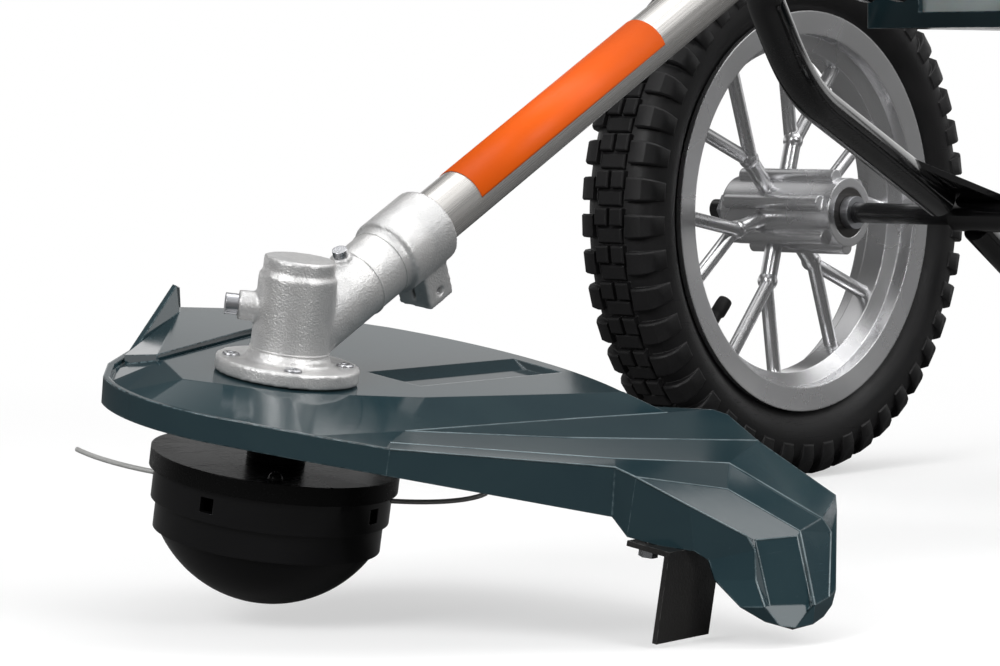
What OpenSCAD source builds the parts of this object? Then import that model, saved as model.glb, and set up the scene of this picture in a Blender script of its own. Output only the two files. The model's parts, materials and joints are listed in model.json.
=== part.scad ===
// Wheeled string trimmer: gear head and guard in front, two spoked wheels,
// a straight shaft tube, a small engine over the axle and a push handlebar.
// Millimetres. +X forward to the trimmer head, +Y to the machine's left, +Z up.
// The origin is on the floor under the middle of the axle.

/* [Stance] */
// Outside diameter of a tyre, over the tread
wheel_d = 345; // [320:1:370]
// Distance between the middle planes of the tyres
track = 580; // [540:1:640]
// Distance from the axle forward to the gear mesh point
reach = 736; // [700:1:780]
// Height of the gear mesh point above the floor
mesh_z = 136; // [132:1:150]
// Slope of the shaft tube
shaft_angle = 28.5; // [26:0.5:31]
// Turn of the gear head about the shaft tube
head_roll = 11; // [0:0.5:12]

/* [Fits] */
// Gap between pieces that are fastened together
seat = 0.1; // [0.05:0.05:0.2]
// Gap between pieces that move past each other
free = 0.4; // [0.3:0.1:0.6]
// Radial clearance of a shaft in its bearing
run = 0.05; // [0.02:0.01:0.1]

/* [Shaft] */
// Outside diameter of the shaft tube
tube_d = 28; // [26:0.5:30]
// Wall of the shaft tube
tube_t = 1.5; // [1:0.1:2]
// Start of the tube, measured up the shaft from the gear mesh point
tube_s0 = 48; // [44:1:56]
// End of the tube inside the clutch housing
tube_s1 = 512; // [506:1:518]
// Diameter of the inner drive shaft
drive_d = 8; // [7:0.5:9]
// Length of each bush that carries the drive shaft
bush_len = 20; // [14:1:30]
// Start of the plain sleeve on the tube
sleeve_s0 = 133; // [125:1:145]
// Length of the plain sleeve
sleeve_len = 158; // [130:1:180]
// Thickness of the plain sleeve
sleeve_t = 0.4; // [0.3:0.1:0.8]

/* [Gear case] */
// Diameter of the upright gear body
body_d = 37; // [35:0.5:40]
// Height of the gear body above the mesh point
body_top = 38; // [37:0.5:42]
// Diameter of the bottom flange
flange_d = 68; // [66:1:74]
// Thickness of the bottom flange
flange_t = 7; // [5:0.5:8]
// Underside of the flange below the mesh point
flange_low = 18; // [17:0.5:20]
// Diameter of the sloped arm
arm_d = 34; // [33:0.5:36]
// Diameter of the clamping collar on the arm
collar_d = 39; // [38:0.5:42]
// Length of the clamping collar
collar_len = 32; // [28:1:36]
// End of the collar up the shaft
collar_s1 = 105; // [100:1:112]
// Radius of the hollow for the gears
gear_room = 14.5; // [14:0.1:15]
// Outside radius of the ball bearings
bearing_r = 13; // [12:0.5:13.5]
// Width of the ball bearings
bearing_w = 8; // [7:0.5:9]
// Radius of the output arbor
arbor_r = 5; // [4.5:0.1:6]
// Teeth on the input pinion
pinion_teeth = 15; // [13:1:17]
// Teeth on the output gear
gear_teeth = 19; // [17:1:21]
// Radius of the clamp screw
clamp_screw_r = 2; // [1.5:0.1:2.5]

/* [Guard] */
// Radius of the nose in front of the head
nose_r = 86; // [80:1:92]
// Radius of the rear edge
guard_r = 198; // [190:1:204]
// Wall of the guard
guard_t = 3; // [2.4:0.2:4]
// Height of the rim wall
rim_h = 16; // [12:1:20]
// Height of the lip above the tray
lip_h = 2; // [1:0.5:3]
// Height of the raised platform above the tray
platform_h = 3.5; // [2:0.5:5]
// Height of the fin's tip above the tray
fin_h = 20; // [14:1:26]
// Drop of the spout's lip below the tray
spout_drop = 62; // [56:1:64]
// Radius of the guard screws
guard_screw_r = 2.5; // [2:0.1:3]
// Pitch radius of the guard screws
guard_screw_at = 27; // [26:0.5:28]

/* [Line cutter] */
// Width of the blade
blade_w = 42; // [36:1:46]
// Thickness of the blade
blade_t = 2.5; // [2:0.1:3]
// Depth of the blade's edge below the mesh point
blade_low = 102; // [94:1:102]
// Distance of the blade from the spindle
blade_at = 199; // [196:1:202]

/* [Trimmer head] */
// Top of the head below the mesh point
head_top = 58; // [54:1:62]
// Radius of the cover
cover_r = 59; // [57:0.5:61]
// Thickness of the cover's rim
cover_h = 9; // [8:0.5:11]
// Radius of the upper band
band_r = 56.5; // [55.5:0.5:57]
// Height of the upper band
band_h = 15; // [13:0.5:17]
// Radius of the lower band
ring_r = 54; // [53:0.5:55]
// Height of the lower band
ring_h = 14; // [12:0.5:16]
// Wall inside the bands
band_t = 1.8; // [1.4:0.1:2.2]
// Depth of the bump cap below the bands
bowl_h = 31; // [28:1:33]
// Travel of the bump cap
bump_travel = 6; // [4:0.5:7]
// Diameter of the cutting line
line_d = 2.4; // [2:0.1:3]

/* [Wheels] */
// Width of a tyre
tyre_w = 57; // [50:1:64]
// Diameter over the rim flanges
rim_d = 258; // [250:1:266]
// Width over the rim flanges
rim_w = 47; // [42:1:50]
// Wall of the rim
rim_t = 4; // [3:0.5:5]
// Radius of the hub barrel
hub_r = 22; // [20:0.5:25]
// Length of the hub barrel
hub_len = 88; // [80:1:96]
// Number of forked spokes
spokes = 6; // [5:1:8]
// Diameter of a spoke
spoke_d = 9; // [8:0.5:11]
// Outside radius of a wheel bearing
wheel_bearing_r = 16; // [14:0.5:17]
// Width of a wheel bearing
wheel_bearing_w = 10; // [8:0.5:12]

/* [Axle frame] */
// Diameter of the axle
axle_d = 13; // [12:0.5:15]
// Outside diameter of the axle tube
axle_tube_d = 20; // [18:0.5:24]
// Length of the axle tube
axle_tube_len = 300; // [280:1:320]
// Diameter of the bent struts
strut_d = 22; // [20:0.5:25]
// Height of the bend in the struts
bend_z = 251; // [240:1:262]
// Half the distance between the upper parts of the struts
strut_y = 95; // [90:1:100]
// Diameter of the rear stand
stand_d = 18; // [16:0.5:20]
// Reach of the rear stand behind the axle
stand_back = 245; // [220:1:270]
// Place of the frame clamp up the shaft
clamp_s = 440; // [434:1:446]
// Length of the frame clamp along the shaft
clamp_len = 40; // [36:1:46]
// Width of the frame clamp
clamp_w = 64; // [60:1:70]
// Height of each clamp half
clamp_h = 26; // [24:0.5:28]
// Radius of the clamp bolts
clamp_bolt_r = 3; // [2.5:0.5:3.5]

/* [Handlebar] */
// Diameter of the lower legs
leg_d = 25; // [24:0.5:28]
// Diameter of the upper handlebar
bar_d = 21; // [20:0.5:21.5]
// Half the width between the legs
leg_y = 100; // [94:1:106]
// Length of a lower leg
leg_len = 480; // [440:5:520]
// Distance up the legs to the handlebar's bend
bar_len = 870; // [820:5:900]
// Slope of the legs
leg_angle = 52; // [48:0.5:56]
// Length of the grip part of the handlebar
grip_run = 175; // [165:1:190]
// Diameter of a grip
grip_d = 32; // [30:0.5:36]
// Length of a grip
grip_len = 115; // [110:1:120]

/* [Engine] */
// Radius of the clutch drum
drum_r = 34; // [32:0.5:35]
// Half width of the crankcase
case_y = 45; // [42:1:48]
// Half height of the crankcase
case_x = 44; // [42:1:47]
// Length of the crankcase along the shaft
case_len = 64; // [60:1:68]
// Number of cooling fins
fin_count = 8; // [6:1:10]
// Width of a cooling fin
fin_w = 68; // [62:1:74]
// Radius of the flywheel
flywheel_r = 48; // [46:0.5:50]
// Radius of the starter housing
starter_r = 58; // [56:0.5:60]
// Depth of the starter housing
starter_len = 42; // [38:1:46]
// Half width of the tank guard
tank_y = 60; // [58:1:64]
// Underside of the tank guard above the floor
tank_low = 286; // [282:1:292]
// Front of the tank guard ahead of the axle
tank_front = 212; // [208:1:216]
// Rear of the tank guard ahead of the axle
tank_rear = 66; // [56:1:76]

/* [Hidden] */
$fn = 48;
axle_z = wheel_d / 2;
mesh = [reach, 0, mesh_z];
shaft_dir = [-cos(shaft_angle), 0, sin(shaft_angle)];
far = 400;

// Gear case
socket_r = tube_d / 2 + seat;
collar_s0 = collar_s1 - collar_len;
pinion_s0 = 12;
pinion_s1 = 23;
cross_angle = 90 - shaft_angle;
pinion_cone = atan(sin(cross_angle) / (gear_teeth / pinion_teeth + cos(cross_angle)));
gear_cone = cross_angle - pinion_cone;
gear_z0 = 10;
gear_z1 = 19;
pinion_bearing_s = 27;
top_bearing_z = 22;
low_bearing_z = -14;
boss_turn = -46;
boss_z = 13;
plug_r = 4;
locator_s = 44;
lug_s = collar_s1 - 10;
lug_x = -collar_d / 2 - 7;

// Guard levels, all below the mesh point
seat_z = -flange_low - seat;
tray_z = -26;
tray_low = tray_z - guard_t;
rim_low = tray_z + lip_h - rim_h;
lip_z = tray_z + lip_h;
platform_z = tray_z + platform_h;
spout_z = tray_z - spout_drop;
fin_front = [3, -96];
fin_rear = [-77, -140];
wing_front = [-33, 175];
wing_rear = [-160, 117];
spout_front = [-66, 227];
spout_rear = [-148, 214];
pad_z = -59;
tab_t = blade_t;
tab_z = pad_z - seat - tab_t;
tab_y = blade_at - 14;
tab_x = -80;
cutter_screw_r = 2.5;
function arc(r, a0, a1, n) = [for (i = [0 : n]) let (a = a0 + (a1 - a0) * i / n) r * [cos(a), sin(a)]];
function inset(points, t) = [for (p = points) p * (1 - t / norm(p))];
guard_outline = concat(
    arc(nose_r, -40, 22, 8),
    [[64, 68], [45, 106], wing_front, wing_rear],
    arc(guard_r, 149, 203, 8),
    [[-146, -108], fin_rear, fin_front, [40, -76]]);
platform_top = concat(
    arc(40, -40, 35, 4),
    [[-24, 44], [-150, 88]],
    arc(guard_r - 8, 162, 200, 5),
    [[-150, -85], [0, -50]]);
platform_foot = concat(
    arc(nose_r - guard_t, 0, 20, 3),
    inset([[64, 68], [45, 106], wing_front, wing_rear], guard_t),
    arc(guard_r - guard_t, 149, 203, 5),
    [[-146, -92], [0, -60], [45, -30]]);

// Trimmer head levels
cover_z = -head_top;
band_z = cover_z - cover_h;
ring_z = band_z - band_h;
bowl_z = ring_z - ring_h;
bowl_r = ring_r - band_t - free;
bowl_sphere = (bowl_r * bowl_r + bowl_h * bowl_h) / (2 * bowl_h);
bowl_centre = bowl_z - bowl_h + bowl_sphere;
cap_skirt = 6;
spool_r = bowl_r - 6;
spool_z0 = bowl_z + 4;
spool_z1 = band_z - bump_travel - 2;
spool_hub = 12;
hub_neck = 14;
eye_z = ring_z + band_h / 2;
window_turn = 8;
line_turns = [141, -64];
line_bend = 70;
line_arc = [58, 45];

// Wheels
wheel_y = track / 2;
rim_r = rim_d / 2;
bead_r = rim_r - 11;
well_r = bead_r - 9;
hub_offset = 56;
hub_in = wheel_y - hub_offset;
hub_out = hub_in + hub_len;
axle_half = hub_out + 22;
spoke_fork = 47;
spoke_turn = 14;
fork_turn = 14;
valve_turn = spoke_turn - 149;
tyre_r = wheel_d / 2;

// Frame
tube_end = axle_tube_len / 2;
clamp_low = -clamp_h;
plate_t = 5;
web_t = 5;
shaft_up = [sin(shaft_angle), 0, cos(shaft_angle)];
cross_s = clamp_s + 54;
cross_drop = 60;
cross_at = mesh + cross_s * shaft_dir - cross_drop * shaft_up;
strut_top = cross_at + [0, -strut_y, 0];
strut_bend = [229, -strut_y, bend_z];
strut_foot = [16, -tube_end, axle_z + 9];
stand_top = [-5, -tube_end + 12, axle_z - 8];
stand_foot = [-stand_back, -tube_end + 12, stand_d / 2 + 1];
leg_dir = [-cos(leg_angle), 0, sin(leg_angle)];
leg_start = [-5, 0, axle_z + 8];
leg_end = leg_start + leg_len * leg_dir;
bar_start = leg_start + (leg_len - 60) * leg_dir;
bar_bend = leg_start + bar_len * leg_dir;
grip_dir = [-0.90, -0.27, 0.34];
grip_end = grip_run * grip_dir / norm(grip_dir);
brace_at = leg_start + (bar_len - 170) * leg_dir;
knob_at = leg_start + (leg_len - 22) * leg_dir;
cable_d = 5;
cable_y = -leg_y + (leg_d + cable_d) / 2 + 2 * seat;
cable_start = bar_bend + [-34, -leg_y - 10, -16];

// Engine places up the shaft
clutch_s0 = 486;
clutch_s1 = 548;
case_s0 = clutch_s1 + seat;
case_s1 = case_s0 + case_len;
starter_s0 = case_s1 + seat;
starter_s1 = starter_s0 + starter_len;
crank_r = 7.5;
barrel_top = case_x + 72;
carb_y = -fin_w / 2 - seat - 48;
primer_r = 8;
cable_end = mesh + (case_s0 + 63) * shaft_dir + (case_x + 30) * [sin(shaft_angle), 0, cos(shaft_angle)] + [0, carb_y + 11, 0];
lug_place = [30, -30];
tank_gap = 6;
tank_t = 4;
tank_top = 334;
cap_at = [tank_rear + 30, 26];
cap_r = 18;
tank_ear = mesh + (case_s0 + lug_place[0]) * shaft_dir + lug_place[1] * [sin(shaft_angle), 0, cos(shaft_angle)];

// Frames of reference

module at_gear() translate(mesh) rotate(a = head_roll, v = shaft_dir) children();

module along(s) translate(s * shaft_dir) rotate([0, shaft_angle - 90, 0]) children();

module on_shaft(s) translate(mesh) along(s) children();

module both_sides() {
    children();
    mirror([0, 1, 0]) children();
}

module rod(p, q, d) {
    v = q - p;
    translate(p) rotate([0, acos(v.z / norm(v)), atan2(v.y, v.x)]) cylinder(d = d, h = norm(v));
}

module ring(r_out, r_in, h) {
    difference() {
        cylinder(r = r_out, h = h);
        translate([0, 0, -1]) cylinder(r = r_in, h = h + 2);
    }
}

module block(size, z0) translate([-size.x / 2, -size.y / 2, z0]) cube(size);

// Gear head

module gear_case_outside() {
    translate([0, 0, -flange_low]) cylinder(d = flange_d, h = flange_t);
    translate([0, 0, -flange_low]) cylinder(d = body_d + 3, h = flange_t + 3);
    translate([0, 0, -flange_low]) cylinder(d = body_d, h = flange_low + body_top - 8);
    translate([0, 0, body_top - 9]) cylinder(d = body_d - 3, h = 9);
    along(0) cylinder(d = arm_d, h = collar_s0 + 2);
    along(collar_s0) cylinder(d = collar_d, h = collar_len);
    along(lug_s) translate([lug_x, 0, 0]) block([18, 20, 18], -9);
    along(locator_s) translate([arm_d / 2 - 2, 0, 0]) rotate([0, 90, 0]) cylinder(r = 5, h = 4);
    rotate([0, 0, boss_turn]) translate([0, 0, boss_z]) rotate([0, 90, 0]) cylinder(r = 7, h = body_d / 2 + 8);
}

module gear_case() {
    color("silver")
    at_gear() difference() {
        gear_case_outside();
        translate([0, 0, -flange_low - 1]) cylinder(r = gear_room - 1, h = 20);
        translate([0, 0, low_bearing_z]) cylinder(r = bearing_r + seat, h = 20);
        translate([0, 0, -4]) cylinder(r = gear_room, h = body_top);
        along(0) cylinder(r = gear_room - 2, h = pinion_bearing_s);
        along(8) cylinder(r = bearing_r + seat, h = tube_s0 - 9);
        along(tube_s0 - 1) cylinder(r = socket_r, h = far);
        along(collar_s0 + 6) translate([lug_x - 6, -1, 0]) cube([30, 2, collar_len]);
        along(lug_s) translate([lug_x - 3, -20, 0]) rotate([-90, 0, 0]) cylinder(r = clamp_screw_r + 2 * seat, h = 40);
        along(locator_s) translate([arm_d / 2 - 4, 0, 0]) rotate([0, 90, 0]) cylinder(r = clamp_screw_r + 2 * seat, h = 9);
        rotate([0, 0, boss_turn]) translate([gear_room - 4, 0, boss_z])
            rotate([0, 90, 0]) cylinder(r = plug_r - 1 + 2 * seat, h = 30);
        for (a = [45 : 90 : 315])
            rotate([0, 0, a]) translate([guard_screw_at, 0, -flange_low - 1]) cylinder(r = guard_screw_r + seat, h = flange_t + 2);
    }
}

module case_screws() {
    color("gray")
    at_gear() {
        along(lug_s) translate([lug_x - 3, 7, 0]) rotate([90, 0, 0]) {
            cylinder(r = clamp_screw_r, h = 17.1 + seat);
            translate([0, 0, 17 + seat]) cylinder(r = clamp_screw_r * 2, h = 4);
        }
        along(locator_s) translate([arm_d / 2 + 2 + seat, 0, 0]) rotate([0, 90, 0]) {
            cylinder(r = clamp_screw_r * 1.8, h = 3.5);
            translate([0, 0, -3.5]) cylinder(r = clamp_screw_r, h = 4);
        }
        rotate([0, 0, boss_turn]) translate([body_d / 2 + 8 + seat, 0, boss_z]) rotate([0, 90, 0]) {
            cylinder(r = plug_r + 1, h = 6);
            translate([0, 0, -9]) cylinder(r = plug_r - 1, h = 10);
        }
    }
}

module cone(z0, z1, half_angle, slack) {
    translate([0, 0, z0]) cylinder(r1 = z0 * tan(half_angle) - slack, r2 = z1 * tan(half_angle) - slack, h = z1 - z0);
}

module pinion() {
    color("dimgray")
    at_gear() along(0) {
        cone(pinion_s0, pinion_s1, pinion_cone, free);
        translate([0, 0, pinion_s1 - 1]) cylinder(r = arbor_r, h = tube_s0 - pinion_s1 - 8);
    }
}

module output_gear() {
    color("dimgray")
    at_gear() difference() {
        cone(gear_z0, gear_z1, gear_cone, free);
        translate([0, 0, gear_z0 - 1]) cylinder(r = arbor_r + seat, h = gear_z1);
    }
}

module arbor() {
    color("darkgray")
    at_gear() {
        translate([0, 0, -head_top - 6]) cylinder(r = arbor_r, h = head_top + 6 + top_bearing_z + bearing_w);
        translate([0, 0, -flange_low - 20]) cylinder(r = 15, h = 10);
    }
}

module gear_bearings() {
    color("lightgray")
    at_gear() {
        translate([0, 0, top_bearing_z]) ring(bearing_r, arbor_r + run, bearing_w);
        translate([0, 0, low_bearing_z]) ring(bearing_r, arbor_r + run, bearing_w);
        along(pinion_bearing_s) ring(bearing_r, arbor_r + run, bearing_w);
    }
}

// Guard and line cutter

module post(p, z0, z1, d) translate([p.x, p.y, z0]) cylinder(d = d, h = z1 - z0, $fn = 16);

module guard_tray() {
    difference() {
        translate([0, 0, rim_low]) linear_extrude(rim_h) polygon(guard_outline);
        translate([0, 0, rim_low - 1]) linear_extrude(tray_low - rim_low + 1) polygon(inset(guard_outline, guard_t));
        translate([0, 0, tray_z]) linear_extrude(lip_h + 1) polygon(inset(guard_outline, guard_t));
    }
    hull() {
        translate([0, 0, platform_z - 0.4]) linear_extrude(0.4) polygon(platform_top);
        translate([0, 0, tray_z - 1]) linear_extrude(0.6) polygon(platform_foot);
    }
    translate([0, 0, tray_low]) linear_extrude(platform_z - tray_low + 1)
        polygon([[-10, -88], [-76, -135], [-143, -106], [-150, -88], [-24, -60]]);
    translate([0, 0, tray_low]) cylinder(r = flange_d / 2 - 1, h = seat_z - tray_low);
}

module guard_fin() {
    run_xy = fin_rear - fin_front;
    translate([fin_front.x, fin_front.y, tray_z]) rotate([0, 0, atan2(run_xy.y, run_xy.x)])
        rotate([90, 0, 0]) linear_extrude(guard_t)
            polygon([[0, -guard_t / 2], [norm(run_xy), -guard_t / 2], [norm(run_xy) - 3, fin_h], [norm(run_xy) - 8, fin_h]]);
}

module guard_wing() {
    hull() {
        post(wing_front, tray_low, tray_z, 4);
        post(wing_rear, tray_low, tray_z + 3, 4);
        post(spout_front, spout_z + 38, spout_z + 41, 4);
        post(spout_rear, spout_z + 45, spout_z + 48, 4);
    }
    hull() {
        post(wing_front, rim_low - 4, tray_z, 4);
        post([-45, 193], pad_z + 3, tray_z - 7, 4);
        post(spout_front, spout_z + 22, spout_z + 40, 4);
    }
    hull() {
        post(wing_rear, rim_low, tray_z + 2, 4);
        post(spout_rear, spout_z + 14, spout_z + 48, 4);
    }
    translate([tab_x, tab_y - 7, pad_z]) cube([blade_w, 18, 23]);
}

module guard_spout() {
    difference() {
        hull() {
            post(spout_front, spout_z + 4, spout_z + 40, 6);
            post(spout_rear, spout_z + 14, spout_z + 48, 6);
            post([-88, 236], spout_z, spout_z + 8, 12);
            post([-122, 236], spout_z + 4, spout_z + 12, 12);
        }
        hull() {
            post([-75, 237], spout_z + 12, spout_z + 50, 8);
            post([-137, 229], spout_z + 22, spout_z + 60, 8);
            post([-90, 262], spout_z + 8, spout_z + 18, 12);
            post([-120, 262], spout_z + 12, spout_z + 22, 12);
        }
    }
}

module guard() {
    color("darkslategray")
    at_gear() difference() {
        union() {
            guard_tray();
            guard_fin();
            guard_wing();
            guard_spout();
        }
        translate([0, 0, rim_low - 1]) cylinder(r = 20, h = far / 10);
        translate([-188, -8, platform_z - guard_t]) cube([116, 35, 20]);
        for (a = [45 : 90 : 315])
            rotate([0, 0, a]) translate([guard_screw_at, 0, tray_low - 1]) cylinder(r = guard_screw_r + seat, h = 20);
        translate([tab_x + 34, tab_y, pad_z - 1]) cylinder(r = cutter_screw_r + seat, h = 9);
    }
}

module guard_screws() {
    color("silver")
    at_gear() for (a = [45 : 90 : 315])
        rotate([0, 0, a]) translate([guard_screw_at, 0, -flange_low + flange_t + seat]) {
            cylinder(r = guard_screw_r * 1.7, h = 3);
            translate([0, 0, -flange_t - 9]) cylinder(r = guard_screw_r, h = flange_t + 10);
        }
}

module line_cutter() {
    color("black")
    at_gear() difference() {
        union() {
            translate([tab_x, tab_y - 7, tab_z]) cube([blade_w, blade_at + blade_t - tab_y + 7, tab_t]);
            translate([tab_x, blade_at, -blade_low]) cube([blade_w, blade_t, blade_low + tab_z + tab_t]);
        }
        translate([tab_x + 34, tab_y, tab_z - 1]) cylinder(r = cutter_screw_r + seat, h = 9);
    }
}

module cutter_screw() {
    color("silver")
    at_gear() translate([tab_x + 34, tab_y, tab_z - seat]) {
        translate([0, 0, -4]) cylinder(r = cutter_screw_r * 1.8, h = 4, $fn = 6);
        translate([0, 0, -1]) cylinder(r = cutter_screw_r, h = 10);
    }
}

// Trimmer head

module head_cover() {
    color("black")
    at_gear() difference() {
        union() {
            translate([0, 0, band_z + seat]) cylinder(r = cover_r, h = cover_h - seat);
            translate([0, 0, cover_z - 1]) cylinder(r = hub_neck, h = 12);
            for (a = [40, 220]) rotate([0, 0, a]) translate([48, 0, cover_z]) sphere(r = 3.5);
        }
        translate([0, 0, band_z - 1]) cylinder(r = arbor_r + seat, h = far / 10);
        translate([0, 0, band_z]) cylinder(r = cover_r - 4, h = cover_h - 4);
    }
}

module head_body() {
    color("black")
    at_gear() difference() {
        union() {
            translate([0, 0, ring_z]) cylinder(r = band_r, h = band_h);
            translate([0, 0, bowl_z]) cylinder(r = ring_r, h = ring_h + 1);
        }
        translate([0, 0, bowl_z - 1]) cylinder(r = ring_r - band_t, h = band_h + ring_h + 2);
        for (a = [0 : 90 : 270])
            rotate([0, 0, a + window_turn]) translate([0, -3.5, eye_z - 3]) cube([far / 4, 7, 7]);
        for (a = line_turns)
            rotate([0, 0, a]) translate([0, 0, eye_z]) rotate([0, 90, 0]) cylinder(r = line_d / 2 + 2 * seat, h = far / 4);
    }
}

module bump_cap() {
    color("black")
    at_gear() difference() {
        union() {
            intersection() {
                translate([0, 0, bowl_centre]) sphere(r = bowl_sphere);
                translate([-far / 2, -far / 2, bowl_z - far]) cube([far, far, far]);
            }
            translate([0, 0, bowl_z - 0.5]) cylinder(r = bowl_r, h = cap_skirt);
        }
        intersection() {
            translate([0, 0, bowl_centre]) sphere(r = bowl_sphere - band_t);
            translate([-far / 2, -far / 2, bowl_z - far - 3]) cube([far, far, far]);
        }
        translate([0, 0, bowl_z - 4]) cylinder(r = bowl_r - band_t - 2, h = cap_skirt + 5);
    }
}

module spool() {
    color("orange")
    at_gear() difference() {
        union() {
            translate([0, 0, bowl_z - 3.9 + seat]) cylinder(r = spool_hub + 10, h = spool_z1 - bowl_z + 3);
            translate([0, 0, spool_z0]) cylinder(r = spool_r, h = 2);
            translate([0, 0, spool_z1 - 2]) cylinder(r = spool_r, h = 2);
            translate([0, 0, bowl_z - bowl_h + band_t + 3]) cylinder(r = spool_hub, h = bowl_h);
        }
        translate([0, 0, band_z - far / 2]) cylinder(r = arbor_r + 2, h = far);
    }
}

module spool_spring() {
    color("silver")
    at_gear() translate([0, 0, spool_z1 + seat]) ring(hub_neck, hub_neck - 2, band_z + cover_h - 4 - spool_z1 - 2 * seat);
}

module line_bow(sweep) {
    rotate_extrude(angle = sweep) translate([line_bend, 0]) circle(d = line_d, $fn = 16);
}

module cutting_line() {
    color("lightgray")
    at_gear() {
        rotate([0, 0, line_turns[0]]) translate([ring_r - 1, line_bend, eye_z])
            rotate([0, 0, -90]) line_bow(line_arc[0]);
        rotate([0, 0, line_turns[1]]) translate([ring_r - 1, -line_bend, eye_z])
            rotate([0, 0, 90 - line_arc[1]]) line_bow(line_arc[1]);
    }
}

// Shaft tube and drive shaft

module shaft_tube() {
    color("gainsboro")
    on_shaft(tube_s0) ring(tube_d / 2, tube_d / 2 - tube_t, tube_s1 - tube_s0);
}

module shaft_sleeve() {
    color("orangered")
    on_shaft(sleeve_s0) difference() {
        ring(tube_d / 2 + sleeve_t, tube_d / 2 + seat / 2, sleeve_len);
        translate([-tube_d, -tube_d * 0.3, -1]) cube([tube_d * 0.8, tube_d * 0.6, sleeve_len + 2]);
    }
}

module shaft_bushes() {
    color("dimgray")
    for (s = [150, 285, 430])
        on_shaft(s) ring(tube_d / 2 - tube_t - seat, drive_d / 2 + run, bush_len);
}

module drive_shaft() {
    color("darkgray")
    on_shaft(tube_s0 - 8) cylinder(d = drive_d, h = tube_s1 + 22 - tube_s0);
}

// Frame clamp

module bolt_places() {
    for (y = [-1, 1], z = [-1, 1])
        translate([0, y * (clamp_w / 2 - 9), z * (clamp_len / 2 - 9)]) rotate([0, 90, 0]) children();
}

module clamp_half(x0) {
    difference() {
        translate([x0, -clamp_w / 2, -clamp_len / 2]) cube([clamp_h - free, clamp_w, clamp_len]);
        translate([0, 0, -far / 2]) cylinder(r = tube_d / 2 + seat, h = far);
        translate([-far / 2, 0, 0]) bolt_places() cylinder(r = clamp_bolt_r + seat, h = far);
    }
}

module clamp_lower() {
    color("lightgray")
    on_shaft(clamp_s) clamp_half(-clamp_h);
}

module clamp_upper() {
    color("lightgray")
    on_shaft(clamp_s) clamp_half(free);
}

module clamp_bolts() {
    color("gray")
    on_shaft(clamp_s) bolt_places() {
        translate([0, 0, -clamp_h - plate_t]) cylinder(r = clamp_bolt_r, h = 2 * clamp_h + plate_t + 1);
        translate([0, 0, clamp_h + seat]) cylinder(r = clamp_bolt_r * 1.7, h = 6);
    }
}

module saddle_web(y) {
    translate([0, y + web_t / 2, 0]) rotate([90, 0, 0]) linear_extrude(web_t)
        polygon([[-clamp_h - plate_t / 2, -clamp_len / 2 + 2], [-clamp_h - plate_t / 2, clamp_len / 2],
            [-cross_drop + 6, 68], [-cross_drop - 16, 68], [-cross_drop - 16, 42]]);
}

module saddle_plate() {
    color("black")
    difference() {
        on_shaft(clamp_s) difference() {
            union() {
                translate([-clamp_h - plate_t - seat, -clamp_w / 2, -clamp_len / 2]) cube([plate_t, clamp_w, clamp_len]);
                saddle_web(-11);
                saddle_web(11);
            }
            translate([-far / 2, 0, 0]) bolt_places() cylinder(r = clamp_bolt_r + seat, h = far);
        }
        translate(cross_at + [0, -far / 2, 0]) rotate([-90, 0, 0]) cylinder(d = strut_d + 2 * seat, h = far);
    }
}

// Axle and struts

module axle_bar(d, half) translate([0, -half, axle_z]) rotate([-90, 0, 0]) cylinder(d = d, h = 2 * half);

module strut() {
    difference() {
        union() {
            rod(cross_at + [0, -seat, 0], strut_top, strut_d);
            translate(strut_top) sphere(d = strut_d + 0.6);
            rod(strut_top, strut_bend, strut_d);
            translate(strut_bend) sphere(d = strut_d + 0.6);
            rod(strut_bend, strut_foot, strut_d);
            translate([0, 0, axle_z + 8]) rotate([0, -17.5, 0]) linear_extrude(4)
                polygon([[4, -tube_end + 2], [4, -tube_end + 38], [100, -128]]);
        }
        axle_bar(axle_tube_d + 2 * seat, far);
    }
}

module right_strut() color("black") strut();

module left_strut() color("black") mirror([0, 1, 0]) strut();

module axle_tube() {
    color("black")
    difference() {
        axle_bar(axle_tube_d, tube_end);
        axle_bar(axle_d + 2 * seat, far);
    }
}

module axle() color("gray") axle_bar(axle_d, axle_half);

module axle_hardware() {
    color("silver")
    both_sides() translate([0, 0, axle_z]) rotate([-90, 0, 0]) {
        translate([0, 0, hub_in - 6]) ring(axle_d / 2 + 4, axle_d / 2 + seat, 6 - free);
        translate([0, 0, hub_out + free]) difference() {
            union() {
                cylinder(r = axle_d, h = 2);
                cylinder(r = axle_d - 2, h = 12, $fn = 6);
            }
            translate([0, 0, -1]) cylinder(d = axle_d + 2 * seat, h = 20);
        }
    }
}

module rear_stand() {
    color("black")
    difference() {
        union() {
            both_sides() {
                rod(stand_top, stand_foot, stand_d);
                translate(stand_foot) sphere(d = stand_d + 0.6);
            }
            rod(stand_foot, [stand_foot.x, -stand_foot.y, stand_foot.z], stand_d);
        }
        axle_bar(axle_tube_d + 2 * seat, far);
    }
}

// Wheels: one wheel, turned round for the other side

module on_left() mirror([0, 1, 0]) translate([0, -wheel_y, axle_z]) rotate([90, 0, 0]) children();

module on_right() rotate([0, 0, 180]) on_left() children();

module rim_ring() {
    rotate_extrude() polygon([
        [rim_r, -rim_w / 2], [rim_r, -rim_w / 2 + 4], [bead_r, -rim_w / 2 + 8], [bead_r, -11],
        [well_r, -7], [well_r, 7], [bead_r, 11], [bead_r, rim_w / 2 - 8],
        [rim_r, rim_w / 2 - 4], [rim_r, rim_w / 2], [bead_r - rim_t, rim_w / 2 - 1],
        [bead_r - rim_t, 13], [well_r - rim_t, 8], [well_r - rim_t, -8],
        [bead_r - rim_t, -13], [bead_r - rim_t, -rim_w / 2 + 1]]);
}

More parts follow.
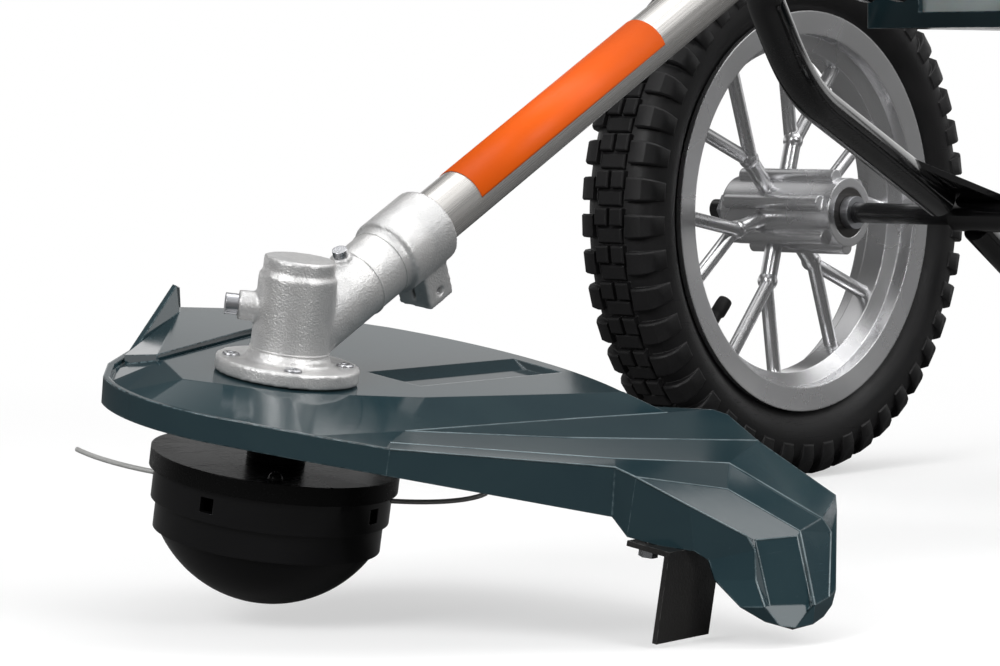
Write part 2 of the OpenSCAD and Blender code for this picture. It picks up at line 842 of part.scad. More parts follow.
module spoke(a) {
    root = (hub_r - 6) * [cos(a), sin(a), 0];
    fork = spoke_fork * [cos(a), sin(a), 0];
    rod(root, fork, spoke_d + 2);
    translate(fork) sphere(d = spoke_d + 4);
    for (side = [-1, 1]) {
        lift = [0, 0, 1.5 * side];
        tip = a + fork_turn * side;
        rod(fork + lift, (well_r - rim_t + 1) * [cos(tip), sin(tip), 0] + lift, spoke_d);
    }
}

module rim() {
    difference() {
        union() {
            rim_ring();
            for (i = [0 : spokes - 1]) spoke(i * 360 / spokes + spoke_turn);
            translate([0, 0, -hub_offset]) cylinder(r = hub_r, h = hub_len);
            for (i = [0 : spokes - 1])
                rotate([0, 0, (i + 0.5) * 360 / spokes + spoke_turn]) translate([hub_r + 1, 0, 6 - hub_offset])
                    cylinder(r = 5, h = hub_len - 12);
        }
        translate([0, 0, -hub_offset - 1]) cylinder(r = axle_d / 2 + 2, h = hub_len + 2);
        translate([0, 0, -hub_offset - 1]) cylinder(r = wheel_bearing_r + seat, h = wheel_bearing_w + 1);
        translate([0, 0, hub_len - hub_offset - wheel_bearing_w]) cylinder(r = wheel_bearing_r + seat, h = wheel_bearing_w + 1);
        rotate([0, 0, valve_turn]) translate([well_r - rim_t - 2, 0, 0]) rotate([0, 90, 0]) cylinder(r = 4 + seat, h = 12);
    }
}

module tyre() {
    rotate_extrude() polygon([
        [well_r + 1, -6], [bead_r + seat, -10.6], [bead_r + seat, -rim_w / 2 + 8.2],
        [rim_r + 1, -rim_w / 2 + 4.4], [rim_r + 12, -tyre_w / 2], [tyre_r - 12, -tyre_w / 2 + 1],
        [tyre_r - 2, -tyre_w / 2 + 7], [tyre_r, -tyre_w / 2 + 14], [tyre_r, tyre_w / 2 - 14],
        [tyre_r - 2, tyre_w / 2 - 7], [tyre_r - 12, tyre_w / 2 - 1], [rim_r + 12, tyre_w / 2],
        [rim_r + 1, rim_w / 2 - 4.4], [bead_r + seat, rim_w / 2 - 8.2], [bead_r + seat, 10.6], [well_r + 1, 6]]);
}

module bearings_pair() {
    translate([0, 0, -hub_offset]) ring(wheel_bearing_r, axle_d / 2 + run, wheel_bearing_w);
    translate([0, 0, hub_len - hub_offset - wheel_bearing_w]) ring(wheel_bearing_r, axle_d / 2 + run, wheel_bearing_w);
}

module valve() rotate([0, 0, valve_turn]) translate([well_r - rim_t - 26, 0, 0]) rotate([0, 90, 0]) {
    cylinder(r = 4, h = rim_t + 32);
    cylinder(r = 5, h = 12);
}

module right_rim() color("silver") on_right() rim();

module left_rim() color("silver") on_left() rim();

module tyre_and_valve() {
    tyre();
    valve();
}

module right_tyre() color("black") on_right() tyre_and_valve();

module left_tyre() color("black") on_left() tyre_and_valve();

module right_bearings() color("dimgray") on_right() bearings_pair();

module left_bearings() color("dimgray") on_left() bearings_pair();

// Handlebar

module handle_legs() {
    color("black")
    difference() {
        both_sides() difference() {
            translate([0, -leg_y, 0]) rod(leg_start, leg_end, leg_d);
            translate([0, -leg_y, 0]) rod(bar_start - 2 * leg_dir, leg_end + 2 * leg_dir, bar_d + 2 * seat);
        }
        axle_bar(axle_tube_d + 2 * seat, far);
    }
}

module handlebar() {
    color("black")
    union() {
        both_sides() translate([0, -leg_y, 0]) {
            rod(bar_start, bar_bend, bar_d);
            translate(bar_bend) sphere(d = bar_d + 0.6);
            rod(bar_bend, bar_bend + grip_end, bar_d);
        }
        rod(brace_at + [0, -leg_y, 0], brace_at + [0, leg_y, 0], bar_d - 5);
    }
}

module handle_knobs() {
    color("black")
    both_sides() translate(knob_at + [0, -leg_y - leg_d / 2 - seat, 0]) rotate([90, 0, 0]) {
        cylinder(r = 5, h = 8);
        translate([0, 0, 7]) cylinder(r = 16, h = 14);
    }
}

module on_grip(at, side = -1) {
    v = [grip_end.x, -side * grip_end.y, grip_end.z];
    translate([bar_bend.x, side * leg_y, bar_bend.z])
        rotate([0, acos(v.z / norm(v)), atan2(v.y, v.x)]) translate([0, 0, at]) children();
}

module grips() {
    color("black")
    for (side = [-1, 1])
        on_grip(grip_run - grip_len + 3, side) difference() {
            cylinder(d = grip_d, h = grip_len);
            translate([0, 0, -1]) cylinder(d = bar_d + 2 * seat, h = grip_len - 2);
        }
}

// Throttle control on the right grip

lever_at = grip_run - grip_len - 30;

module throttle_body() {
    color("black")
    on_grip(lever_at) difference() {
        union() {
            cylinder(d = grip_d + 8, h = 30);
            translate([-6, -9, 0]) cube([36, 18, 28]);
        }
        translate([0, 0, -1]) cylinder(d = bar_d + 2 * seat, h = 40);
        translate([19, -4, -1]) cube([20, 8, 40]);
        translate([24, -20, 14]) rotate([-90, 0, 0]) cylinder(r = 2 + run, h = 40);
        translate([-24, -5, 8]) cube([10.5, 10, 14]);
        translate([-6, 14, 8]) cube([12, 10, 14]);
    }
}

module throttle_trigger() {
    color("black")
    on_grip(lever_at) union() {
        translate([24, -8.5, 14]) rotate([-90, 0, 0]) cylinder(r = 2, h = 17);
        translate([24 - 4.4, -3.5, 14 - 4]) cube([9, 7, 8]);
        translate([24, -3.5, 14]) rotate([0, 6, 0]) translate([-3, 0, 0]) cube([6, 7, 62]);
    }
}

module lockout_lever() {
    color("dimgray")
    on_grip(lever_at) translate([-24.5, -4.5, 8.5]) cube([7, 9, 13]);
}

module stop_switch() {
    color("red")
    on_grip(lever_at) translate([-5.5, 14.5, 8.5]) cube([11, 10, 9]);
}

module throttle_cable() {
    color("black")
    union() {
        route = [cable_start, [-520, cable_y, 790], [-293, cable_y, 548], [-160, cable_y, 379], [0, -80, 392],
            [130, -76, 462], cable_end];
        for (i = [0 : len(route) - 2]) hull() {
            translate(route[i]) sphere(d = cable_d, $fn = 20);
            translate(route[i + 1]) sphere(d = cable_d, $fn = 20);
        }
    }
}

// Engine

module clutch_housing() {
    color("gray")
    on_shaft(0) difference() {
        union() {
            translate([0, 0, clutch_s0]) cylinder(d = tube_d + 12, h = 30);
            translate([0, 0, clutch_s0 + 24]) cylinder(r1 = tube_d / 2 + 6, r2 = drum_r + 8, h = 18);
            translate([0, 0, clutch_s0 + 42 - 0.1]) cylinder(r = drum_r + 8, h = clutch_s1 - clutch_s0 - 41.9);
        }
        translate([0, 0, clutch_s0 - 1]) cylinder(r = socket_r, h = tube_s1 - clutch_s0 + 1.2);
        translate([0, 0, clutch_s0]) cylinder(r = drive_d / 2 + 2, h = far);
        translate([0, 0, clutch_s0 + 40]) cylinder(r = drum_r + 2, h = far);
    }
}

module clutch_drum() {
    color("darkgray")
    on_shaft(0) difference() {
        union() {
            translate([0, 0, clutch_s0 + 42]) cylinder(r = drum_r, h = 18);
            translate([0, 0, tube_s1 + 3]) cylinder(r = drive_d / 2 + 1.6, h = 16);
        }
        translate([0, 0, clutch_s0 + 46]) cylinder(r = drum_r - 2.5, h = 30);
        translate([0, 0, tube_s1]) cylinder(r = drive_d / 2 + seat, h = 30);
    }
}

module crankcase() {
    color("silver")
    on_shaft(case_s0) difference() {
        union() {
            translate([-case_x, -case_y, 0]) cube([2 * case_x, 2 * case_y, case_len]);
            translate([lug_place[1], -tank_y + tank_t + seat, lug_place[0]]) rotate([-90, 0, 0])
                cylinder(r = 7, h = 2 * (tank_y - tank_t - seat));
        }
        translate([0, 0, -1]) cylinder(r = crank_r + run, h = case_len + 2);
        translate([0, 0, 14]) cylinder(r = 30, h = case_len - 28);
        translate([0, 0, case_len / 2]) rotate([0, 90, 0]) cylinder(r = 17, h = far);
    }
}

module crankshaft() {
    color("dimgray")
    on_shaft(0) {
        translate([0, 0, clutch_s1 - 14]) cylinder(r = crank_r, h = starter_s1 - clutch_s1);
        translate([0, 0, clutch_s1 - 12]) cylinder(r = drum_r - 5, h = 10);
        translate([0, 0, case_s0 + 20]) cylinder(r = 26, h = case_len - 40);
        translate([0, 0, starter_s0 + 4]) cylinder(r = flywheel_r, h = 16);
    }
}

module cylinder_head() {
    color("silver")
    on_shaft(case_s0 + case_len / 2) difference() {
        union() {
            translate([case_x + seat, 0, 0]) rotate([0, 90, 0]) cylinder(r = 24, h = barrel_top - case_x);
            for (i = [0 : fin_count - 1])
                translate([case_x + 8 + i * (barrel_top - case_x - 8) / fin_count, -fin_w / 2, -case_len / 2 + 2])
                    cube([3, fin_w, case_len - 4]);
        }
        translate([case_x - 1, 0, 0]) rotate([0, 90, 0]) cylinder(r = 17, h = barrel_top - case_x - 8);
        translate([barrel_top - 20, 0, 0]) rotate([0, 90, 0]) cylinder(r = 5 + seat, h = 40);
    }
}

module spark_plug() {
    color("black")
    on_shaft(case_s0 + case_len / 2) translate([barrel_top - 6, 0, 0]) rotate([0, 90, 0]) {
        cylinder(r = 5, h = 12);
        translate([0, 0, 6.3 + seat]) cylinder(r = 9, h = 26);
    }
}

module muffler() {
    color("dimgray")
    on_shaft(case_s0) difference() {
        translate([case_x + 4, fin_w / 2 + seat, 2]) cube([58, 36, case_len - 4]);
        translate([case_x + 4 + 29, fin_w / 2 + 20, -1]) cylinder(r = 6, h = 12);
    }
}

module carburettor() {
    color("gray")
    on_shaft(case_s0) {
        translate([case_x + 10, -fin_w / 2 - seat - 26, 12]) cube([36, 26, case_len - 24]);
        difference() {
            translate([case_x + 2, carb_y, 4]) cube([56, 22.1, case_len - 8]);
            translate([case_x + 18, carb_y - 1, 20]) rotate([-90, 0, 0]) cylinder(r = primer_r + free, h = 17);
            translate([case_x + 44, carb_y - 1, 40]) rotate([-90, 0, 0]) cylinder(r = 3 + run, h = 14);
        }
    }
}

module choke_lever() {
    color("orangered")
    on_shaft(case_s0) translate([case_x + 44, carb_y - free, 40]) rotate([90, 0, 0]) {
        translate([0, 0, -10]) cylinder(r = 3, h = 12);
        translate([-4, -6, 0]) cube([8, 26, 4]);
    }
}

module primer_bulb() {
    color("white")
    on_shaft(case_s0) translate([case_x + 18, carb_y + 10, 20]) rotate([90, 0, 0]) cylinder(r = primer_r, h = 17);
}

module starter_housing() {
    color("black")
    on_shaft(starter_s0) difference() {
        union() {
            cylinder(r = starter_r, h = starter_len);
            translate([starter_r - 10, -14, starter_len - 26]) cube([18, 28, 22]);
        }
        translate([0, 0, -1]) cylinder(r = flywheel_r + 3, h = starter_len - 4);
        translate([starter_r - 30, 0, starter_len - 15]) rotate([0, 90, 0]) cylinder(r = 4, h = 60);
    }
}

module starter_handle() {
    color("black")
    on_shaft(starter_s0) translate([starter_r + 8 + seat, 0, starter_len - 15]) {
        translate([0, -22, -7]) cube([14, 44, 14]);
        translate([-9, 0, 0]) rotate([0, 90, 0]) cylinder(r = 3, h = 10);
    }
}

module tank_box(gap, z0, z1) {
    translate([tank_rear + gap, gap - tank_y, z0]) cube([tank_front - tank_rear - 2 * gap, 2 * (tank_y - gap), z1 - z0]);
}

module fuel_tank() {
    color("white")
    difference() {
        tank_box(tank_t + 2, tank_low + tank_t + seat, tank_top);
        tank_box(tank_t + 5, tank_low + tank_t + 3, tank_top - 3);
        translate([cap_at.x, cap_at.y, tank_top - 9]) cylinder(r = cap_r - 5 + seat, h = 20);
    }
}

module fuel_cap() {
    color("black")
    translate([cap_at.x, cap_at.y, tank_top + seat]) {
        cylinder(r = cap_r, h = 14);
        translate([0, 0, -8]) cylinder(r = cap_r - 5, h = 9);
    }
}

module tank_guard() {
    color("darkslategray")
    difference() {
        union() {
            tank_box(0, tank_low, tank_low + 34);
            both_sides() translate([0, tank_y, 0]) rotate([90, 0, 0]) linear_extrude(tank_t)
                polygon([[tank_front - 70, tank_low + 20], [tank_front, tank_low + 20],
                    [tank_ear.x + 14, tank_ear.z + 4], [tank_ear.x - 4, tank_ear.z + 12], [tank_ear.x - 16, tank_ear.z]]);
        }
        tank_box(tank_t, tank_low + tank_t, tank_low + far);
        translate([tank_front - 20, -24, tank_low + 9]) cube([40, 62, 18]);
        for (x = [tank_rear + 20 : 22 : tank_front - 20])
            translate([x, -far, tank_low + 10]) cube([12, 2 * far, 14]);
    }
}

gear_case();
case_screws();
pinion();
output_gear();
arbor();
gear_bearings();
guard();
guard_screws();
line_cutter();
cutter_screw();
head_cover();
head_body();
bump_cap();
spool();
spool_spring();
cutting_line();
shaft_tube();
shaft_sleeve();
shaft_bushes();
drive_shaft();
clamp_lower();
clamp_upper();
clamp_bolts();
saddle_plate();
right_strut();
left_strut();
axle_tube();
axle();
axle_hardware();
rear_stand();
right_rim();
left_rim();
right_tyre();
left_tyre();
right_bearings();
left_bearings();
handle_legs();
handlebar();
handle_knobs();
grips();
throttle_body();
throttle_trigger();
lockout_lever();
stop_switch();
throttle_cable();
clutch_housing();
clutch_drum();
crankcase();
crankshaft();
cylinder_head();
spark_plug();
muffler();
carburettor();
starter_housing();
starter_handle();
fuel_tank();
fuel_cap();
tank_guard();
choke_lever();
primer_bulb();
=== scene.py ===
# %% [markdown]
# # A wheeled string trimmer
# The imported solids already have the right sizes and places, so this lesson dresses them.
# The tyres get their blocks, the guard its moulded facets, and every piece a finish.

# %% Load the frame
import json
import math

import bmesh
import bpy
import numpy as np
from mathutils.geometry import tessellate_polygon
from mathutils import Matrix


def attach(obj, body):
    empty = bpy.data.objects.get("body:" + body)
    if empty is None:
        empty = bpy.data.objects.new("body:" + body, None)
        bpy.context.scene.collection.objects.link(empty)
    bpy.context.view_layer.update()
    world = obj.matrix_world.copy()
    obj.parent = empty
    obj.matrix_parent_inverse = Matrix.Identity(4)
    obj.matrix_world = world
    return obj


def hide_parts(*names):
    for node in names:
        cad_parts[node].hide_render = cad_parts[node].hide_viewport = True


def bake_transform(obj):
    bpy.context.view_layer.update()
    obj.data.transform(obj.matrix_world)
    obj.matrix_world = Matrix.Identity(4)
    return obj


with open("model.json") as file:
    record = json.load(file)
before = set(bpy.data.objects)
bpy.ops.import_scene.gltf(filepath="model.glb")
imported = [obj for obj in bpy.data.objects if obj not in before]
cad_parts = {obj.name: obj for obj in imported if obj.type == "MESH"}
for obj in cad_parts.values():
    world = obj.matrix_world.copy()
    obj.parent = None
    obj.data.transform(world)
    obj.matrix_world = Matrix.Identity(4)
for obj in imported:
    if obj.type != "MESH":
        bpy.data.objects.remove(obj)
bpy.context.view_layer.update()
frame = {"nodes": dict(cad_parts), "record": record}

MM = 0.001
NODES = frame["nodes"]

# %% [markdown]
# ## Camera
# The photograph was taken from low down in front of the machine's left side with a long lens.
# A camera is three axes and a place: right, up, and backwards towards the photographer.

# %% Place the camera
PHOTO_WIDTH = 1000
FOCAL_PIXELS = 4100
HORIZON_PIXELS = 250
SENSOR_MM = 36
CAMERA_AT = (2.0901, 1.360, 0.255)
CAMERA_YAW = math.radians(42.2)
CAMERA_PITCH = math.atan2(HORIZON_PIXELS, FOCAL_PIXELS)
FAR_CLIP = 60


def camera_axes(yaw, pitch):
    """Backward is (cos yaw cos pitch, sin yaw cos pitch, sin pitch); right is level;
    up is their cross product."""
    back = np.array([math.cos(yaw) * math.cos(pitch), math.sin(yaw) * math.cos(pitch), math.sin(pitch)])
    right = np.array([-math.sin(yaw), math.cos(yaw), 0.0])
    return right, np.cross(back, right), back


def linked(name, data):
    """A new object in the scene, at the origin."""
    made = bpy.data.objects.new(name, data)
    bpy.context.scene.collection.objects.link(made)
    return made


def stand(thing, axes, at):
    """Puts a camera or a lamp at a point, with its right, up and backward axes."""
    pose = np.eye(4)
    pose[:3, :3] = np.stack(axes, axis=1)
    pose[:3, 3] = at
    thing.matrix_world = pose.T.tolist()


camera = linked("camera", bpy.data.cameras.new("camera"))
camera.data.lens = FOCAL_PIXELS / PHOTO_WIDTH * SENSOR_MM
camera.data.sensor_width = SENSOR_MM
camera.data.clip_end = FAR_CLIP
stand(camera, camera_axes(CAMERA_YAW, CAMERA_PITCH), CAMERA_AT)
bpy.context.scene.camera = camera
print("camera lens", round(camera.data.lens, 1), "mm")

# %% [markdown]
# ## Shader nodes by hand
# A finish is a small network. A node's sockets are filled with a number where a value is fixed
# and with another node's output where it changes over the surface.


# %% Make one shader node
def fill(tree, node, inputs):
    """Fills a node's sockets with values or links."""
    for socket, value in inputs.items():
        if isinstance(value, bpy.types.NodeSocket):
            tree.links.new(value, node.inputs[socket])
        else:
            node.inputs[socket].default_value = value


def add(tree, kind, inputs=None, **settings):
    """One node of that kind: settings are its own properties, inputs fill its sockets."""
    made = tree.nodes.new(kind)
    for name, value in settings.items():
        setattr(made, name, value)
    fill(tree, made, inputs or {})
    return made


def math_node(tree, operation, a, b=0.0):
    """The value a operation b."""
    return add(tree, "ShaderNodeMath", {0: a, 1: b}, operation=operation).outputs[0]


def ramp(tree, value, low, high, out_low=0.0, out_high=1.0):
    """Takes low..high smoothly to out_low..out_high and holds it beyond."""
    sockets = {"Value": value, "From Min": low, "From Max": high, "To Min": out_low, "To Max": out_high}
    return add(tree, "ShaderNodeMapRange", sockets, interpolation_type="SMOOTHSTEP").outputs[0]


def mix_colour(tree, share, first, second):
    """First where share is 0 and second where it is 1."""
    return add(tree, "ShaderNodeMix", {0: share, 6: first, 7: second}, data_type="RGBA").outputs[2]


def vector_value(tree, operation, a, b):
    """The number that a vector operation makes of a and b, such as a dot product or a distance."""
    return add(tree, "ShaderNodeVectorMath", {0: a, 1: b}, operation=operation).outputs["Value"]


def surface_point(tree):
    """The shaded point in the object's own coordinates."""
    return add(tree, "ShaderNodeTexCoord").outputs["Object"]


def noise(tree, point, scale, detail, distortion=0.0):
    """Fractal noise at a point, about 0.5 on average."""
    sockets = {"Vector": point, "Scale": scale, "Detail": detail, "Distortion": distortion}
    return add(tree, "ShaderNodeTexNoise", sockets).outputs["Fac"]


# %% [markdown]
# ## Shared effects
# Four effects come back in most finishes, so each is a node group: rounded and worn edges, the
# grain of the surface, fine scuffs, and a slow mottling. A group gives masks, heights and normals.


# %% Build the node groups
EDGE_BEND, EDGE_PATCHES, SCUFF_PATCHES, MOTTLE_SPAN = (0.01, 0.14), (0.36, 0.62), (0.42, 0.62), (0.3, 0.7)
COARSE_SCALE, COARSE_SHARE, SCUFF_FADE, PATCH_SCALE = 0.22, 0.33, 0.08, 14.0
STREAKS = (((0.3, 0.2, 0.9), 40.0), ((0.1, 0.9, 2.2), 34.0))


def new_group(name, inputs, outputs):
    """An empty shader group with float inputs (name, default) and outputs (name, socket type)."""
    tree = bpy.data.node_groups.new(name, "ShaderNodeTree")
    for title, default in inputs:
        socket = tree.interface.new_socket(title, in_out="INPUT", socket_type="NodeSocketFloat")
        socket.default_value = default
    for title, kind in outputs:
        tree.interface.new_socket(title, in_out="OUTPUT", socket_type=kind)
    return tree, tree.nodes.new("NodeGroupInput").outputs, tree.nodes.new("NodeGroupOutput")


def build_edges():
    """Edge = 1 - (rounded normal . true normal), stretched to 0..1 and broken up by noise."""
    tree, given, out = new_group("rounded_edges", [("Radius", 0.001), ("Breakup", 300.0)],
                                 [("Edge", "NodeSocketFloat"), ("Normal", "NodeSocketVector")])
    rounded = add(tree, "ShaderNodeBevel", {"Radius": given["Radius"]}, samples=4).outputs[0]
    true_normal = add(tree, "ShaderNodeNewGeometry").outputs["Normal"]
    dot = vector_value(tree, "DOT_PRODUCT", rounded, true_normal)
    bend = ramp(tree, math_node(tree, "SUBTRACT", 1.0, dot), *EDGE_BEND)
    patchy = ramp(tree, noise(tree, surface_point(tree), given["Breakup"], 3.0), *EDGE_PATCHES)
    fill(tree, out, {"Edge": math_node(tree, "MULTIPLY", bend, patchy), "Normal": rounded})
    return tree


def build_grain():
    """Height = fine noise plus a third of noise that is about five times coarser."""
    tree, given, out = new_group("surface_grain", [("Scale", 900.0)], [("Height", "NodeSocketFloat")])
    point = surface_point(tree)
    fine = noise(tree, point, given["Scale"], 4.0)
    coarse = noise(tree, point, math_node(tree, "MULTIPLY", given["Scale"], COARSE_SCALE), 2.0)
    low = math_node(tree, "MULTIPLY", coarse, COARSE_SHARE)
    fill(tree, out, {"Height": math_node(tree, "ADD", fine, low)})
    return tree


def build_scuffs():
    """Scuff = thin streaks: noise squeezed across two directions, cut high, in loose patches."""
    tree, given, out = new_group("fine_scuffs", [("Scale", 30.0), ("Cut", 0.62)],
                                 [("Scuff", "NodeSocketFloat")])
    point = surface_point(tree)
    high = math_node(tree, "ADD", given["Cut"], SCUFF_FADE)
    marks = []
    for turn, squeeze in STREAKS:
        sockets = {"Vector": point, "Rotation": turn, "Scale": (1.0, squeeze, squeeze)}
        laid = add(tree, "ShaderNodeMapping", sockets).outputs[0]
        streaks = noise(tree, laid, given["Scale"], 2.0)
        marks.append(ramp(tree, streaks, given["Cut"], high))
    patches = ramp(tree, noise(tree, point, PATCH_SCALE, 2.0), *SCUFF_PATCHES)
    both = math_node(tree, "MAXIMUM", *marks)
    fill(tree, out, {"Scuff": math_node(tree, "MULTIPLY", both, patches)})
    return tree


def build_mottle():
    """Mottle = slow noise, 0..1, for the uneven tone of a used surface."""
    tree, given, out = new_group("slow_mottle", [("Scale", 18.0)], [("Mottle", "NodeSocketFloat")])
    slow = noise(tree, surface_point(tree), given["Scale"], 5.0, distortion=0.6)
    fill(tree, out, {"Mottle": ramp(tree, slow, *MOTTLE_SPAN)})
    return tree


EFFECTS = {tree.name: tree for tree in (build_edges(), build_grain(), build_scuffs(), build_mottle())}
print("effects:", ", ".join(EFFECTS))


def effect(tree, name, **values):
    """Places one of the shared groups with its own values."""
    return add(tree, "ShaderNodeGroup", values, node_tree=EFFECTS[name]).outputs


# %% [markdown]
# ## Finishes
# Every finish is laid out the same way: a colour that drifts slowly between two tones, edges that
# wear to a third, scuffs that roughen the gloss, and a grain that reaches the light as bump.


# %% Lay out a finish
DARKEST = 11
DRAWN_LINES = (4.0, 900.0, 900.0)


def rgba(tone):
    """An sRGB colour of 11..255, or one number for a grey, as linear values:
    ((c/255 + 0.055) / 1.055) ** 2.4."""
    levels = np.broadcast_to(tone, 3).tolist()
    return (*[((max(c, DARKEST) / 255 + 0.055) / 1.055) ** 2.4 for c in levels], 1.0)


def finish(name, tone, drift, worn, gloss, grain=(900.0, 0.0002), edge=0.0008, wear=0.5,
           scuff=(30.0, 0.62), scuffed=0.25, rub=0.22, mottle=18.0, metal=0.0, shine=0.5, fixed=None):
    """A Principled finish: colour tone..drift by mottle, worn on edges; roughness gloss plus scuffs;
    bump from grain, which is a scale and a height."""
    material = bpy.data.materials.new(name)
    material.use_nodes = True
    tree = material.node_tree
    shader = tree.nodes["Principled BSDF"]
    edges = effect(tree, "rounded_edges", Radius=edge)
    skin = effect(tree, "surface_grain", Scale=grain[0])["Height"]
    marks = effect(tree, "fine_scuffs", Scale=scuff[0], Cut=scuff[1])["Scuff"]
    slow = effect(tree, "slow_mottle", Scale=mottle)["Mottle"]
    colour = mix_colour(tree, slow, rgba(tone), rgba(drift))
    rubbed = math_node(tree, "MULTIPLY", marks, scuffed)
    share = math_node(tree, "MAXIMUM", math_node(tree, "MULTIPLY", edges["Edge"], wear), rubbed)
    smooth = ramp(tree, slow, 0.0, 1.0, *gloss)
    rough = math_node(tree, "ADD", smooth, math_node(tree, "MULTIPLY", marks, rub))
    sockets = {"Height": skin, "Normal": edges["Normal"], "Strength": 1.0, "Distance": grain[1]}
    bump = add(tree, "ShaderNodeBump", sockets).outputs[0]
    fill(tree, shader, {"Base Color": mix_colour(tree, share, colour, rgba(worn)), "Roughness": rough,
                        "Normal": bump, "Metallic": metal, "Specular IOR Level": shine, **(fixed or {})})
    return material


def brushed(name, tone, drift, direction, gloss, metal):
    """A drawn metal: noise stretched along the direction it was drawn in shifts its roughness and tone."""
    material = finish(name, tone, drift, tone, gloss, grain=(300.0, 0.000002), scuffed=0.03, metal=metal)
    tree = material.node_tree
    shader = tree.nodes["Principled BSDF"]
    sockets = {"Vector": surface_point(tree), "Rotation": direction}
    level = add(tree, "ShaderNodeMapping", sockets).outputs[0]
    laid = add(tree, "ShaderNodeMapping", {"Vector": level, "Scale": DRAWN_LINES}).outputs[0]
    drawn = noise(tree, laid, 1.0, 3.0)
    streaky = mix_colour(tree, ramp(tree, drawn, 0.25, 0.75), rgba(tone), rgba(drift))
    fill(tree, shader, {"Roughness": ramp(tree, drawn, 0.3, 0.7, *gloss), "Base Color": streaky})
    return material


SHAFT_SLOPE = math.radians(28.5)
# Pale tone on the guard's edges: partly edge wear, partly painted highlight along the folds and the lip.
PALE_WEAR_AND_HIGHLIGHT = (126, 146, 152)
LOOKS = {
    "alloy_cast": dict(
        tone=(212, 211, 210), drift=188, worn=(236, 236, 235), gloss=(0.34, 0.46),
        grain=(1100.0, 0.0003), edge=0.0012, mottle=60.0, metal=0.72),
    "alloy_polished": dict(
        tone=(220, 220, 221), drift=(206, 206, 208), worn=242, gloss=(0.22, 0.29),
        grain=(300.0, 0.000002), edge=0.0012, wear=0.3, scuffed=0.0, rub=0.0, metal=0.9),
    "steel": dict(
        tone=(196, 197, 200), drift=(170, 171, 175), worn=(225, 225, 226), gloss=(0.2, 0.34),
        grain=(900.0, 0.00005), edge=0.0005, metal=1.0),
    # The guard's edges fade to the pale tone, which is wear and painted highlight together.
    "guard_plastic": dict(
        tone=(30, 48, 54), drift=(34, 52, 57), worn=PALE_WEAR_AND_HIGHLIGHT, gloss=(0.08, 0.11),
        grain=(260.0, 0.000006), edge=0.0011, wear=0.7, scuff=(30.0, 0.68), scuffed=0.03, rub=0.04,
        fixed={"IOR": 1.5}),
    # Painted highlight: the crease beads are paler than the guard plastic, and their mottle drifts paler
    # still, to stand for the light their edges catch.
    "guard_crease_highlight": dict(
        tone=(52, 68, 73), drift=(100, 114, 118), worn=PALE_WEAR_AND_HIGHLIGHT, gloss=(0.12, 0.2),
        grain=(400.0, 0.00001), edge=0.0004, wear=0.4, mottle=40.0, fixed={"IOR": 1.5}),
    "black_plastic": dict(
        tone=(12, 12, 13), drift=(17, 17, 18), worn=60, gloss=(0.07, 0.12),
        grain=(300.0, 0.00001), edge=0.0007, wear=0.35, scuffed=0.03, rub=0.06,
        shine=0.36),
    "black_paint": dict(
        tone=(12, 12, 13), drift=(16, 16, 17), worn=80, gloss=(0.12, 0.2),
        grain=(220.0, 0.00003), wear=0.2, scuffed=0.05,
        fixed={"Coat Weight": 0.5, "Coat Roughness": 0.06}),
    "blade_black": dict(
        tone=(22, 21, 21), drift=(32, 31, 30), worn=(128, 128, 126), gloss=(0.34, 0.48),
        grain=(800.0, 0.00012), edge=0.0004),
    "sleeve_orange": dict(
        tone=(218, 88, 6), drift=(212, 84, 6), worn=(236, 130, 60), gloss=(0.42, 0.5),
        grain=(700.0, 0.00002), edge=0.0003, wear=0.2, scuffed=0.04, shine=0.15),
    "tread_rubber": dict(
        tone=(18, 18, 19), drift=(26, 25, 26), worn=(52, 51, 51), gloss=(0.44, 0.58),
        grain=(1100.0, 0.00012), edge=0.0009, wear=0.4, scuffed=0.1, shine=0.3),
    "grip_rubber": dict(
        tone=(32, 32, 33), drift=40, worn=66, gloss=(0.6, 0.75),
        grain=(700.0, 0.0003), wear=0.3),
    "nylon": dict(
        tone=(176, 176, 174), drift=(198, 198, 196), worn=(225, 225, 223), gloss=(0.3, 0.42),
        grain=(600.0, 0.00005), edge=0.0003, wear=0.2, fixed={"Transmission Weight": 0.25}),
    "tank_plastic": dict(
        tone=(222, 224, 222), drift=(208, 211, 209), worn=(238, 239, 238), gloss=(0.3, 0.42),
        grain=(500.0, 0.0001), edge=0.0012, wear=0.3, fixed={"Subsurface Weight": 0.2}),
    "button_red": dict(
        tone=(178, 32, 26), drift=(160, 26, 22), worn=(214, 110, 100), gloss=(0.22, 0.32),
        edge=0.0006, wear=0.3),
    "dark_metal": dict(
        tone=(66, 65, 66), drift=(84, 82, 80), worn=(150, 148, 144), gloss=(0.36, 0.52),
        grain=(800.0, 0.0002), edge=0.0006, metal=0.8),
    "matt_black": dict(
        tone=11, drift=13, worn=50, gloss=(0.22, 0.3),
        grain=(500.0, 0.00003), edge=0.0007, wear=0.4, scuffed=0.02, shine=0.12),
}
FINISHES = {name: finish(name, **look) for name, look in LOOKS.items()}
DRAWN_TUBE = brushed("drawn_tube", tone=(186, 184, 181), drift=(164, 162, 159),
                     direction=(0.0, -SHAFT_SLOPE, 0.0), gloss=(0.22, 0.32), metal=0.6)
SLOT_OF = {part["node"]: part["material_slot"] for part in frame["record"]["subparts"]}


def dress(piece, material):
    """Puts one finish on every face of a piece."""
    piece.data.materials.clear()
    piece.data.materials.append(material)


SPECIAL = {"shaft_tube": DRAWN_TUBE, "spool": FINISHES["black_plastic"], "head_cover": FINISHES["matt_black"]}
for name, solid in NODES.items():
    dress(solid, SPECIAL.get(name, FINISHES[SLOT_OF[name]]))
print("finishes:", len(FINISHES) + 1)


